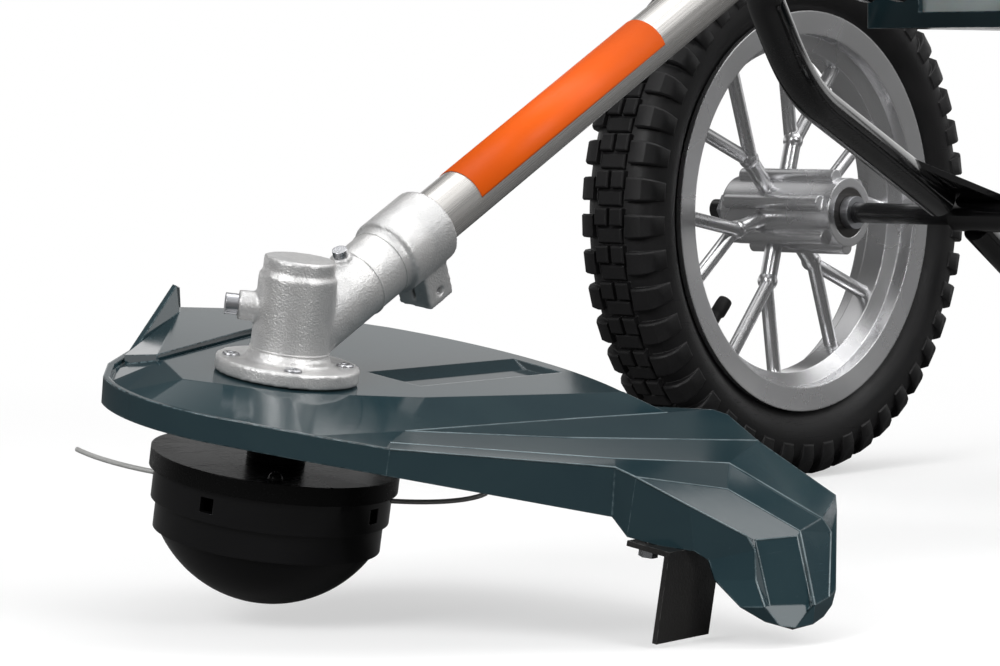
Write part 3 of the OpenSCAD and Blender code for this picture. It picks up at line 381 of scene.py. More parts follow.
# %% Soften the castings
def cast_skin(solid, voxel, passes):
    """Rounds a casting's edges: remakes its skin from small cells and relaxes them a few times."""
    cells = solid.modifiers.new("cast_cells", "REMESH")
    cells.mode = "VOXEL"
    cells.voxel_size = voxel
    cells.use_smooth_shade = True
    relax = solid.modifiers.new("cast_relax", "SMOOTH")
    relax.factor = 0.5
    relax.iterations = passes


CAST = {
    "gear_case": (0.0009, 5), "fuel_tank": (0.0016, 12), "clutch_housing": (0.0013, 4),
    "crankcase": (0.0014, 4), "carburettor": (0.0012, 4), "muffler": (0.0012, 5), "clamp_lower": (0.0011, 4),
    "clamp_upper": (0.0011, 4), "starter_handle": (0.0009, 6), "starter_housing": (0.0014, 4),
}
for name, (voxel, passes) in CAST.items():
    cast_skin(NODES[name], voxel, passes)

# %% [markdown]
# ## Surfaces from arrays
# A new piece is a grid of points worked out all at once. The faces only depend on how many
# points there are each way and on whether the grid closes on itself.


# %% Turn a grid into a piece
def grid_faces(rows, columns, wrap_rows=False, wrap_columns=False):
    """Quads (i, j), (i+1, j), (i+1, j+1), (i, j+1) of a rows x columns grid, indices taken round
    where it closes."""
    down = np.arange(rows - (not wrap_rows))
    across = np.arange(columns - (not wrap_columns))
    i, j = np.meshgrid(down, across, indexing="ij")
    i2, j2 = (i + 1) % rows, (j + 1) % columns
    corners = [i * columns + j, i2 * columns + j, i2 * columns + j2, i * columns + j2]
    return np.stack([c.ravel() for c in corners], axis=1)


def aligned(piece):
    """Turns the faces the same way, and outwards where the shape is closed."""
    work = bmesh.new()
    work.from_mesh(piece.data)
    bmesh.ops.recalc_face_normals(work, faces=work.faces)
    work.to_mesh(piece.data)
    work.free()


def piece_from(name, shape, body, slot, sharp, material=None, align=True):
    """A mesh object at the origin from points in metres and faces, smooth where faces meet below the
    sharp angle, in its slot's finish unless it has its own. With no body, it is left unattached."""
    points, faces = shape
    mesh = bpy.data.meshes.new(name)
    mesh.from_pydata(np.asarray(points).tolist(), [], [list(map(int, face)) for face in faces])
    mesh.validate()
    mesh.polygons.foreach_set("use_smooth", np.ones(len(mesh.polygons), bool))
    mesh.set_sharp_from_angle(angle=math.radians(sharp))
    piece = linked(name, mesh)
    dress(piece, material or FINISHES[slot])
    if body:
        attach(piece, body)
    if align:
        aligned(piece)
    print(name, len(mesh.polygons), "faces")
    return piece


def in_metres(points):
    """Points in millimetres, in metres."""
    return points * MM


def joined(sets, place=in_metres):
    """Several point and face arrays in millimetres as one shape, its points put in place in metres."""
    points, faces, count = [], [], 0
    for some, quads in sets:
        points.append(some)
        faces.append(quads + count)
        count += len(some)
    return place(np.concatenate(points)), np.concatenate(faces)


def even_turns(count):
    """That many equal turns of a full circle, from 0."""
    return np.arange(count) * 2 * np.pi / count


def circle(radius, turns, height):
    """Points (r cos a, r sin a, height) at the turns a."""
    heights = np.broadcast_to(height, len(turns))
    return np.stack([radius * np.cos(turns), radius * np.sin(turns), heights], axis=1)


def unit(vector):
    """The vector at length 1."""
    return vector / np.linalg.norm(vector)


FIRST_SIDE, RING_SIDE = (0.3, 0.9, 0.2), (0.3, 1.0, 0.2)


def swept(path, radius, sides=28):
    """Rings round the path; each ring's side direction is the last one with the part along the path
    taken out."""
    along = np.gradient(path, axis=0)
    along /= np.linalg.norm(along, axis=1, keepdims=True)
    side = np.cross(along[0], FIRST_SIDE)
    around = even_turns(sides)
    rings = []
    for point, t, r in zip(path, along, np.broadcast_to(radius, len(path))):
        side = unit(side - (side @ t) * t)
        ring = np.outer(np.cos(around), side) + np.outer(np.sin(around), np.cross(t, side))
        rings.append(point + r * ring)
    return np.concatenate(rings), grid_faces(len(path), sides, wrap_columns=True)


# %% [markdown]
# ## Tyres
# The tyre is a round casing with two rows of square blocks down the middle, low bars between
# them, and a row of shoulder knobs on each side that fold over on to the side wall.
# Each kind of knob is one small shape in (angle, radius, width), repeated by adding an angle.

# %% Casing and knobs of one tyre
WHEEL_Y, AXLE_Z = 290 * MM, 172.5 * MM
KNOBS, CASING_STEPS = 46, 184
BLOCK_FOOT, BLOCK_TOP, BAR_TOP = 163.0, 172.2, 170.6
BLOCK_LENGTH, BAR_LENGTH, SHOULDER_LENGTH = 11.6, 10.2, 14.6
BLOCK_ROWS, BAR_ROW = ((-11.4, -1.0), (1.0, 11.4)), (-9.8, 9.8)
SHOULDER = np.array([(163.0, 12.6), (171.2, 13.0), (171.0, 18.0), (168.8, 23.4), (164.0, 27.0),
                     (158.4, 28.5), (151.2, 28.6), (149.5, 26.5)])
SHOULDER_TUCK = np.array([0.0, 0.8, 0.9, 0.9, 0.9, 0.9, 0.8, 0.0])
SHOULDER_R, SHOULDER_DEPTH, SHOULDER_NARROWS, SHOULDER_CHAMFER = 168, 18, 0.22, 1.1
CASING = np.array([
    (109.4, 5.9), (118.3, 10.7), (118.3, 15.0), (130.4, 19.2), (134.0, 22.5), (139.0, 26.6), (145.0, 28.0),
    (151.0, 27.8), (157.5, 26.2), (162.8, 22.4), (166.4, 16.0), (168.0, 8.0), (168.4, 0.0)])


def mirrored_profile(half):
    """The half profile from bead to crown, then back down the other side."""
    return np.concatenate([half, (half * (1, -1))[-2::-1]])


def turned(profile, steps):
    """Carries (radius, width) round the axle: (r cos a, r sin a, w) for equal angles a."""
    angle = even_turns(steps)
    r, w = profile[:, 0], profile[:, 1]
    ring = [np.outer(np.cos(angle), r), np.outer(np.sin(angle), r), np.broadcast_to(w, (steps, len(w)))]
    faces = grid_faces(steps, len(profile), wrap_rows=True, wrap_columns=True)
    return np.stack(ring, axis=2).reshape(-1, 3), faces


def repeated(angle, radius, width, faces, count, phase):
    """The same knob count times: points (r cos, r sin, w) with the angle moved on by a whole pitch
    each time."""
    start = (np.arange(count) + phase)[:, None] * 2 * np.pi / count + angle[None, :]
    knobs = [radius * np.cos(start), radius * np.sin(start), np.broadcast_to(width, start.shape)]
    moved = faces[None] + (np.arange(count) * len(angle))[:, None, None]
    return np.stack(knobs, axis=2).reshape(-1, 3), moved.reshape(-1, 4)


def block(length, width_from, width_to, low, top, chamfer=0.9, draft=0.35):
    """A square block: a base ring, a ring just under the top, and a top ring drawn in by the chamfer."""
    half = length / 2 / top
    rings = []
    for inset, height in ((0.0, low), (draft, top - chamfer), (chamfer + draft, top)):
        a = half - inset / top
        w0, w1 = width_from + inset, width_to - inset
        rings.append([(-a, height, w0), (a, height, w0), (a, height, w1), (-a, height, w1)])
    angle, radius, width = np.array(rings).reshape(-1, 3).T
    faces = np.concatenate([grid_faces(3, 4, wrap_columns=True), [[8, 9, 10, 11]]])
    return angle, radius, width, faces


def shoulder(length, side):
    """A shoulder knob: a bent outline over the shoulder, carried along the tread, drawn in at both ends
    and narrower down the side wall."""
    out, over = SHOULDER.T
    half = length / 2
    narrow = 1.0 - SHOULDER_NARROWS * np.clip((SHOULDER_R - out) / SHOULDER_DEPTH, 0, 1)
    stations = []
    for shift, tuck in ((-half, 1.0), (-half + SHOULDER_CHAMFER, 0.0), (half - SHOULDER_CHAMFER, 0.0),
                        (half, 1.0)):
        angle = shift * narrow / SHOULDER_R
        drawn = SHOULDER_TUCK * tuck
        stations.append(np.stack([angle, out - drawn, side * (over - 0.5 * drawn)], axis=1))
    angle, radius, width = np.concatenate(stations).T
    body = grid_faces(4, len(SHOULDER))
    ends = np.array([[0, 1, 6, 7], [1, 2, 5, 6], [2, 3, 4, 5]])
    faces = np.concatenate([body, ends, ends[:, ::-1] + 3 * len(SHOULDER)])
    return angle, radius, width, faces if side < 0 else faces[:, ::-1]


def tyre_sets():
    """Casing and all knobs in wheel coordinates, in millimetres: x, y across the wheel, z along the axle."""
    sets = [turned(mirrored_profile(CASING), CASING_STEPS)]
    for row in BLOCK_ROWS:
        sets.append(repeated(*block(BLOCK_LENGTH, *row, BLOCK_FOOT, BLOCK_TOP), KNOBS, 0.0))
    sets.append(repeated(*block(BAR_LENGTH, *BAR_ROW, BLOCK_FOOT, BAR_TOP), KNOBS, 0.5))
    for side in (-1, 1):
        sets.append(repeated(*shoulder(SHOULDER_LENGTH, side), KNOBS, 0.25))
    return sets


def on_left_wheel(points):
    """Wheel coordinates in millimetres to the machine: (x, wheel_y + z, axle_z + y)."""
    x, y, z = points.T * MM
    return np.stack([x, WHEEL_Y + z, AXLE_Z + y], axis=1)


def on_right_wheel(points):
    """The left wheel's points, turned half round the upright axis."""
    return on_left_wheel(points) * (-1, -1, 1)


WHEELS = {"right": on_right_wheel, "left": on_left_wheel}

# %% Make both tyres
for side, on_wheel in WHEELS.items():
    shape = joined(tyre_sets(), on_wheel)
    tyre = piece_from(side + "_knobby_tyre", shape, side + "_wheel", "tread_rubber", 28)
    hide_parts(side + "_tyre")

# %% [markdown]
# ## Guard
# The guard is a folded sheet: a nose with a low lip, a flat platform under the gear case, and a wing
# of long facets that steps down to a scoop. Its corners are written in the gear case's own axes, with
# the spindle as z, and each fold is a list of corners. Thickness and rounding come afterwards.

# %% Corners of the guard
GEAR_AT = np.array([736.0, 0.0, 136.0])
SHAFT_DIR = np.array([-math.cos(SHAFT_SLOPE), 0.0, math.sin(SHAFT_SLOPE)])
SHAFT_UP = np.array([math.sin(SHAFT_SLOPE), 0.0, math.cos(SHAFT_SLOPE)])
HEAD_ROLL = math.radians(11)
LIP_Z, TRAY_Z, TOP_Z, WALL_Z, REAR_Z = -26.0, -28.0, -18.6, -38.5, -25.5
LIP_WIDTH, TRAY_INSET, WALL_DRAFT = 3.0, 4.0, 0.6
NOSE_R, HOLE_R = 85.9, 20.5
REAR_TOP_R, REAR_FOOT_R, REAR_SKIRT_R = 177, 190, 191
HOLE_CORNERS, EDGE_PARTS = 30, 13
GUARD_WALL, FOLD_ROUNDING, FOLD_ANGLE = 2.6 * MM, 0.6 * MM, 3.4


def from_gear(points):
    """Gear axes to the machine's: v cos a + (k x v) sin a + k (k . v)(1 - cos a), moved to the mesh point."""
    v = np.asarray(points, float)
    along = np.outer(v @ SHAFT_DIR, SHAFT_DIR) * (1 - math.cos(HEAD_ROLL))
    return (GEAR_AT + v * math.cos(HEAD_ROLL) + np.cross(SHAFT_DIR, v) * math.sin(HEAD_ROLL) + along) * MM


def drawn_in(points, by, height):
    """The same outline moved towards the spindle by a distance, at another height."""
    flat = points[:, :2] * (1 - by / np.linalg.norm(points[:, :2], axis=1, keepdims=True))
    return np.column_stack([flat, np.full(len(flat), height)])


NOSE_TURNS = np.radians(np.linspace(-40, 22, 25))
LIP = np.concatenate([[(3, -96, LIP_Z), (40, -76, LIP_Z)], circle(NOSE_R, NOSE_TURNS, LIP_Z),
                      [(66, 68, LIP_Z), (50, 104.5, LIP_Z)]])
REAR_TURNS = np.radians(np.linspace(152, 203, 20))
# A row goes by the name of its first corner, and the next corners count on from it.
CORNER = {"en": (34, -47.5, TOP_Z)}
ROWS = {
    "e0": [(59.2, -12.3, TOP_Z), (29.5, 27.2, TOP_Z), (-30.4, 56.7, TOP_Z), (-114.9, 76.1, TOP_Z),
           (-156.2, 84.8, TOP_Z)],
    "a0": [(14.4, 84.5, -25), (-93.8, 101.5, -23.5), (-158.4, 109.9, -23.5)],
    "b1": [(-58.5, 119.1, -26), (-166, 158.8, -27)],
    "r1": [(-176, 124.5, -20), (-178, 132, -21)],
    "r4": [(-153.5, 213.8, -40), (-149.9, 217.7, -46), (-113.8, 245.1, -74)],
    "c0": [(38.6, 95.3, -26), (-51.3, 156.2, -27), (-116.2, 176.2, -30), (-130.4, 222, -47),
           (-133.4, 226.1, -53), (-105.7, 246.8, -76)],
    "d1": [(-35.3, 167.7, -27), (-33.7, 180.9, -28.5), (-85.8, 196.8, -35), (-110.8, 223.3, -51),
           (-92.5, 248, -78)],
    "m0": [(-51.2, 200.4, -39), (-70.3, 220.7, -50), (-73.2, 224.1, -56), (-71.8, 227.8, -69),
           (-68.3, 236.8, -79), (-72, 243.8, -86.5), (-77.9, 248.3, -87), (-108.6, 247.3, -80)],
    "n1": [(-93.2, 248.0, -87.2), (-102, 247.8, -84.6)],
    "h0": [(-77.2, 220.9, -52.5), (-106, 225, -52.5), (-76.1, 234.5, -80), (-94.8, 245, -79)],
    "u1": [(-34, 170.7, -49.5), (-37.7, 177.8, -57.5), (-45, 191.5, -59.2), (-52.3, 205.4, -59),
           (-58.9, 209.5, -63), (-59.1, 214.1, -71), (-63.5, 226.6, -81), (-71.1, 236.2, -86.5),
           (-77.3, 246, -88)],
    "f0": [(-69, -135.6, -5), (-77, -140, -7), (-67.5, -131.8, -5), (-75, -136, -7), (-63, -124, -16.6),
           (-74, -133, -16.4), (6, -91, -25.8)],
    "p0": [(25.5, -79, -23.5), (35, -50.5, -16.6), (-55, -77, -16.2), (-147, -101, -16.2),
           (-146, -108, -16.6)],
    "g0": [(27.5, -76.5, -27.4), (35, -50, -20.8), (-55, -76, -20.8), (-147, -100, -20.8)],
    "k1": [(33.5, -48.5, -20.8), (-54.5, -73.5, -20.8), (-146.5, -97.5, -20.8)],
    "j2": [(-54.5, -73.5, TOP_Z), (-146.5, -97.5, TOP_Z)],
    "x0": [(-52.6, 6.4, TOP_Z), (-166, 9.2, TOP_Z), (-164, 41, TOP_Z), (-53.3, 38.5, TOP_Z)],
    "y0": [(-54.5, 18, -21.8), (-163, 20, -21.8), (-162, 40, -21.8), (-55, 37.5, -21.8)],
}
for first, row in ROWS.items():
    for step, point in enumerate(row, int(first[1])):
        CORNER[first[0] + str(step)] = point


def name_corners(letter, points):
    """Adds a row of points to the corners as letter_0, letter_1 and so on."""
    CORNER.update({f"{letter}_{step}": point for step, point in enumerate(points)})


name_corners("o", LIP)
name_corners("i", drawn_in(LIP, LIP_WIDTH, LIP_Z))
name_corners("t", drawn_in(LIP, TRAY_INSET, TRAY_Z))
name_corners("w", drawn_in(LIP, WALL_DRAFT, WALL_Z))
name_corners("q", circle(REAR_TOP_R, REAR_TURNS, TOP_Z))
name_corners("z", circle(REAR_FOOT_R, REAR_TURNS, REAR_Z))
name_corners("v", circle(REAR_SKIRT_R, REAR_TURNS, WALL_Z))
name_corners("s", circle(HOLE_R, even_turns(HOLE_CORNERS), TOP_Z))
for step in range(1, EDGE_PARTS):
    share = step / EDGE_PARTS
    CORNER[f"l_{step}"] = tuple(np.array(CORNER["e0"]) * (1 - share) + np.array(CORNER["e1"]) * share)


# %% Folds of the guard
def row_of(letter, first, last):
    """The names of a row of corners, from letter_first up to but not including letter_last."""
    return [f"{letter}_{step}" for step in range(first, last)]


RULED = row_of("t", 14, 28) + ["a0", "a1", "a2"]
EDGE = ["e0"] + row_of("l", 1, EDGE_PARTS) + ["e1", "e2", "e3", "e4"]
FOLDS = [
    "a0 a1 a2 b1", "a2 r1 r2 b2 b1", "a0 b1 c1 c0", "b1 b2 c2 c1", "b2 r4 c3 c2",
    "c0 c1 d1 o_28", "c1 c2 d3 d2 d1", "c2 c3 d4 d3", "c3 c4 d4", "c4 c5 d5 d4", "c3 r4 r5 c4", "c4 r5 r6 c5",
    "d2 d3 m0", "d3 d4 h1 h0 m1 m0", "h0 h1 h3 h2", "m1 h0 m2", "h0 h2 m3 m2", "m3 h2 m4", "h1 d4 d5 h3",
    "h2 h3 m6 m5 m4", "h3 d5 n1 m6", "d5 m7 n2 n1", "d5 c5 m7", "c5 r6 m7",
    "o_28 d1 u1 w_28", "d1 d2 u2 u1", "d2 m0 u4 u3 u2", "m0 m1 m2 u5 u4", "m2 m3 u6 u5", "m3 m4 u7 u6",
    "m4 m5 u8 u7", "m5 m6 u9 u8",
    "t_27 t_28 c0 a0", "t_28 i_28 c0", "i_28 o_28 c0",
    "g0 t_1 en", "en t_1 t_2", "en k1 g0",
    "en j2 k2 k1", "j2 j3 k3 k2", "k1 k2 g2 g1", "k2 k3 g3 g2", "g0 k1 g1", "g0 g1 p1 p0", "g1 g2 p2 p1",
    "g2 g3 p3 p2", "p0 p1 f4 f6", "p1 p2 f4", "p2 p3 p4 f5 f4", "f6 f4 f2 i_0", "f4 f5 f3 f2",
    "i_0 f2 f0 o_0", "f2 f3 f1 f0",
    "i_0 t_0 f6", "f6 t_0 g0 p0", "t_0 t_1 g0",
    "x0 x1 y1 y0", "x1 x2 y2 y1", "x2 x3 y3 y2", "x3 x0 y0 y3", "y0 y1 y2 y3",
    "a2 e4 q_0 z_0", "a2 z_0 r1",
]
FOLDS = [fold.split() for fold in FOLDS]
for step in range(len(LIP) - 1):
    for upper, lower in (("o", "w"), ("i", "o"), ("t", "i")):
        FOLDS.append([f"{lower}_{step}", f"{lower}_{step + 1}", f"{upper}_{step + 1}", f"{upper}_{step}"])
FOLDS += [["en", f"t_{step}", f"t_{step + 1}"] for step in range(2, 8)] + [["en", "t_8", "e0"]]
FOLDS += [["e0", f"t_{step}", f"t_{step + 1}"] for step in range(8, 14)]
FOLDS += [[RULED[step], RULED[step + 1], EDGE[step + 1], EDGE[step]] for step in range(len(RULED) - 1)]
for step in range(len(REAR_TURNS) - 1):
    FOLDS.append([f"q_{step}", f"z_{step}", f"z_{step + 1}", f"q_{step + 1}"])
    FOLDS.append([f"z_{step}", f"v_{step}", f"v_{step + 1}", f"z_{step + 1}"])
PLATFORM = EDGE + row_of("q", 0, len(REAR_TURNS)) + ["j3", "j2", "en"]
HOLES = [row_of("s", 0, HOLE_CORNERS), ["x0", "x1", "x2", "x3"]]
print("guard:", len(CORNER), "corners,", len(FOLDS), "folds")


# %% Fold the guard
def flat_with_holes(loops):
    """Triangles of a flat area inside the first loop and outside the others."""
    names = [name for loop in loops for name in loop]
    triangles = tessellate_polygon([[CORNER[name] for name in loop] for loop in loops])
    return [[names[index] for index in triangle] for triangle in triangles]


def folded(name, folds, body, slot):
    """A sheet through the named corners, with its faces turned the same way and the top face up."""
    used = sorted({corner for fold in folds for corner in fold})
    number = {corner: index for index, corner in enumerate(used)}
    points = from_gear([CORNER[corner] for corner in used])
    faces = [[number[corner] for corner in fold] for fold in folds]
    sheet = piece_from(name, (points, faces), body, slot, 180)
    if sheet.data.polygons[0].normal.z < 0:
        sheet.data.flip_normals()
    return sheet


def thicken(piece, thickness):
    """Gives a sheet its wall, inwards from its faces."""
    wall = piece.modifiers.new("wall", "SOLIDIFY")
    wall.thickness = thickness
    wall.offset = -1.0


def soften(piece, rounding, angle):
    """Rounds the folds that bend by more than the angle, and keeps wide faces flat in the shading."""
    soft = piece.modifiers.new("rounding", "BEVEL")
    soft.width = rounding
    soft.segments = 2
    soft.limit_method = "ANGLE"
    soft.angle_limit = math.radians(angle)
    piece.modifiers.new("flat_faces", "WEIGHTED_NORMAL").weight = 80


guard = folded("guard_shell", flat_with_holes([PLATFORM] + HOLES) + FOLDS, "frame", "guard_plastic")
thicken(guard, GUARD_WALL)
soften(guard, FOLD_ROUNDING, FOLD_ANGLE)
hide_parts("guard")

# %% [markdown]
# ## Creases
# The moulded folds end in fine raised edges. Each is a thin bead along a run of corners, coloured paler than
# the guard: the pale tone is painted highlight.

# %% Lay a bead along each crease
CREASES = ["a0 a1 a2", "a0 b1 b2", "c0 c1 c2 c3 c4 c5", "d2 d3 d4 d5", "o_28 d1 d2 m0 m1 m2 m3 m4",
           "h0 h1 h3", "h0 h2"]
BEAD_R, BEAD_SINK, BEAD_SIDES = 0.45, 0.1, 8


def eased(corners, steps=5):
    """The run with extra points, evenly spaced between neighbouring corners."""
    share = np.linspace(0, 1, steps, endpoint=False)[:, None]
    runs = [a * (1 - share) + b * share for a, b in zip(corners, corners[1:])]
    return np.concatenate(runs + [corners[-1:]])


beads = []
for crease in CREASES:
    run = np.array([CORNER[corner] for corner in crease.split()], float)
    beads.append(swept(eased(run) - (0, 0, BEAD_SINK), BEAD_R, BEAD_SIDES))
shape = joined(beads, from_gear)
# The beads' paler finish is painted highlight.
piece_from("guard_creases", shape, "frame", "guard_plastic", 60, FINISHES["guard_crease_highlight"])

# %% [markdown]
# ## Screws in the flange
# Four socket heads sit low in the gear case's flange: a disc with a rolled edge and a six-sided well.

# %% Turn a screw head
SCREW_HEAD = np.array([(4.2, 0.0), (4.2, 0.7), (3.8, 1.1), (2.3, 1.1), (2.1, 0.9), (2.0, -0.6), (0.0, -0.6)])
SCREW_CIRCLE_R, SCREW_SEAT, WELL_R = 27, -10.9, 2.2
SCREW_TURNS = np.radians([45, 135, 225, 315])


def socket_head(at, sides=30):
    """Radius against height, turned round the screw; inside the well the section is six-sided."""
    around = even_turns(sides)
    hexagon = math.cos(math.pi / 6) / np.cos((around + math.pi / 6) % (math.pi / 3) - math.pi / 6)
    rings = []
    for radius, height in SCREW_HEAD:
        r = radius * (hexagon if radius < WELL_R else 1.0)
        rings.append(at + circle(r, around, height))
    return np.concatenate(rings), grid_faces(len(SCREW_HEAD), sides, wrap_columns=True)


heads = [socket_head(at) for at in circle(SCREW_CIRCLE_R, SCREW_TURNS, SCREW_SEAT)]
screws = piece_from("flange_screws", joined(heads, from_gear), "frame", "steel", 40)
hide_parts("guard_screws")

# %% [markdown]
# ## Seams of the casting
# The mould left a ring low on the body, two on the arm, and an upright line at the parting.

# %% Lay the seams
UPRIGHT = np.array([0.0, 0.0, 1.0])
SEAM_RINGS = [(UPRIGHT, -5.5, 18.5, 0.5), (SHAFT_DIR, 50, 17.0, 0.6), (SHAFT_DIR, 68, 17.0, 0.5)]
PARTING_AT, PARTING_Z, PARTING_R = (7.2, -17.1), (-7, 27), 0.8
SEAM_SIDES = 8


def ring_path(centre, axis, radius, steps=72):
    """A circle about an axis: centre + r (u cos a + v sin a), with u and v square to the axis."""
    axis = unit(axis)
    u = unit(np.cross(axis, RING_SIDE))
    a = np.linspace(0, 2 * np.pi, steps)
    return centre + radius * (np.outer(np.cos(a), u) + np.outer(np.sin(a), np.cross(axis, u)))


seams = []
for axis, along, radius, bead in SEAM_RINGS:
    seams.append(swept(ring_path(axis * along, axis, radius), bead, SEAM_SIDES))
parting = np.array([(*PARTING_AT, z) for z in np.linspace(*PARTING_Z, 12)])
seams.append(swept(parting, PARTING_R, SEAM_SIDES))
piece_from("case_seams", joined(seams, from_gear), "frame", "alloy_cast", 60)

# %% [markdown]
# ## Plain sleeve
# The sleeve is a thin sheet wrapped round the tube. It doesn't close: a strip of bare tube shows below it.

# %% Wrap the sleeve
SLEEVE_FROM, SLEEVE_TO, SLEEVE_R, SLEEVE_WALL = 133.4, 290.6, 14.38, 0.3 * MM
SLEEVE_TURNS = (-205, 31.7)


def wrapped(radius, first, last, turns, steps=64):
    """Rows at both ends, columns at equal turns: mesh point + T s + r (u cos a + w sin a), with u
    towards the camera. The faces look outwards."""
    seen = np.array(camera_axes(CAMERA_YAW, CAMERA_PITCH)[2])
    u = unit(seen - (seen @ SHAFT_DIR) * SHAFT_DIR)
    w = np.cross(SHAFT_DIR, u)
    a = np.radians(np.linspace(*turns, steps))
    arc = radius * (np.outer(np.cos(a), u) + np.outer(np.sin(a), w))
    points = np.concatenate([GEAR_AT + SHAFT_DIR * s + arc for s in (first, last)])
    return points * MM, grid_faces(2, steps)[:, ::-1]


wrap = wrapped(SLEEVE_R, SLEEVE_FROM, SLEEVE_TO, SLEEVE_TURNS)
sleeve = piece_from("open_sleeve", wrap, "frame", "sleeve_orange", 60, align=False)
thicken(sleeve, SLEEVE_WALL)
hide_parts("shaft_sleeve")

# %% [markdown]
# ## Bent struts
# Each strut is one tube, bent twice. At a corner the path leaves its straight run and follows an arc
# that touches both runs, so the arc starts at radius x tan(half the turn) before the corner.


# %% Sweep the struts
def filleted(corners, radii, steps=14):
    """The polyline with each inner corner replaced by an arc of its radius."""
    path = [corners[0]]
    for before, corner, after, radius in zip(corners, corners[1:], corners[2:], radii):
        u, v = unit(before - corner), unit(after - corner)
        half = math.acos(np.clip(u @ v, -1, 1)) / 2
        centre = corner + unit(u + v) * radius / math.sin(half)
        first = corner + u * radius / math.tan(half) - centre
        last = corner + v * radius / math.tan(half) - centre
        sweep = math.pi - 2 * half
        for share in np.linspace(0, 1, steps):
            swing = first * math.sin((1 - share) * sweep) + last * math.sin(share * sweep)
            path.append(centre + swing / math.sin(sweep))
    return np.array(path + [corners[-1]])


STRUT_RUN = np.array([(273.2, -0.1, 319.0), (273.2, -95, 319.0), (229, -95, 251), (20, -149, 182.8)])
STRUT_BENDS, STRUT_R = (26, 85), 11.0
GUSSET = np.array([(4, -148), (4, -112), (100, -128)])
GUSSET_FACES = [[0, 1, 2], [3, 5, 4], [0, 3, 4, 1], [1, 4, 5, 2], [2, 5, 3, 0]]
GUSSET_SLOPE, GUSSET_THICK, GUSSET_Z = math.radians(17.5), 4.0, 180.5


def gusset_plate():
    """A thick triangle, sloped up from the axle like the plate in the solids."""
    x, y, z = np.concatenate([np.column_stack([GUSSET, np.full(3, z)]) for z in (0.0, GUSSET_THICK)]).T
    c, s = math.cos(GUSSET_SLOPE), math.sin(GUSSET_SLOPE)
    return np.stack([x * c - z * s, y, x * s + z * c + GUSSET_Z], axis=1)


for side, flip in (("right", 1), ("left", -1)):
    points, faces = swept(filleted(STRUT_RUN, STRUT_BENDS), STRUT_R)
    plate_faces = [[corner + len(points) for corner in face] for face in GUSSET_FACES]
    points = np.concatenate([points, gusset_plate()]) * (1, flip, 1) * MM
    shape = (points, [*faces, *plate_faces])
    strut = piece_from(side + "_bent_strut", shape, "frame", "black_paint", 40)
    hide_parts(side + "_strut")

# %% [markdown]
# ## Grips, cap and starter cover
# The grips are turned with grooves, the fuel cap has ridges for the fingers, and the starter's cover has
# a ring of raised bars round its middle.

# %% Turn the grips
BAR_BEND = np.array([-540.6, 0.0, 866.1])
GRIP_DIR = np.array([-0.9007, 0.2702, 0.3403])
GRIP_Y, GRIP_SIDES, GROOVES_AT = 100.0, 40, range(70, 166, 5)
GROOVE = np.array([(0.0, 16.0), (0.5, 14.7), (2.2, 14.7), (2.7, 16.0)])
GRIP = np.concatenate([[(63.0, 10.7), (63.05, 15.2), (64, 16.0)], *[GROOVE + (x, 0) for x in GROOVES_AT],
                       [(174, 16.0), (176.6, 15.0), (177.8, 12.6), (177.9, 0.05)]])
pair = []
for flip in (-1, 1):
    path = (BAR_BEND + (0, GRIP_Y, 0) + np.outer(GRIP[:, 0], GRIP_DIR)) * (1, flip, 1)
    pair.append(swept(path, GRIP[:, 1], GRIP_SIDES))
grips = piece_from("grooved_grips", joined(pair), "frame", "grip_rubber", 30)
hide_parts("grips")

# %% Ridges of the fuel cap and bars of the starter cover
CAP_AT, CAP_R, CAP_Z, CAP_RIDGES = (96.0, 26.0), 18.0, (336.0, 346.5), 26
RIDGE_R = np.array([0.3, 0.9, 0.9, 0.3])
rises = np.outer(np.linspace(*CAP_Z, len(RIDGE_R)), UPRIGHT)
feet = circle(CAP_R, even_turns(CAP_RIDGES), 0.0) + (*CAP_AT, 0.0)
ridges = [swept(foot + rises, RIDGE_R, 8) for foot in feet]
piece_from("cap_ridges", joined(ridges), "cap", "black_plastic", 60)

COVER_S, COVER_BARS, BAR_FROM, BAR_TO = 654.2, 20, 21.0, 49.0
BAR_R = np.array([0.4, 1.7, 2.0, 2.3, 2.3, 0.4])
COVER_RINGS, COVER_RING_R, COVER_SIDES = (17.0, 53.0), 1.5, 10
COVER_AT = GEAR_AT + SHAFT_DIR * COVER_S


def on_cover(turn, radii):
    """Points on the starter cover's face, at one turn about the shaft and several radii."""
    out = math.cos(turn) * SHAFT_UP + math.sin(turn) * np.array([0.0, 1.0, 0.0])
    return COVER_AT + np.outer(radii, out)


radii = np.linspace(BAR_FROM, BAR_TO, len(BAR_R))
bars = [swept(on_cover(turn, radii), BAR_R, COVER_SIDES) for turn in even_turns(COVER_BARS)]
bars += [swept(ring_path(COVER_AT, SHAFT_DIR, r), COVER_RING_R, COVER_SIDES) for r in COVER_RINGS]
piece_from("starter_cover_bars", joined(bars), "frame", "black_plastic", 60)

# %% [markdown]
# ## Cords
# A cord is a fixed length of something flexible. The throttle cable follows the leg and crosses to the
# carburettor; the two cutting lines leave the head and curl. Each is one open curve with a round section.


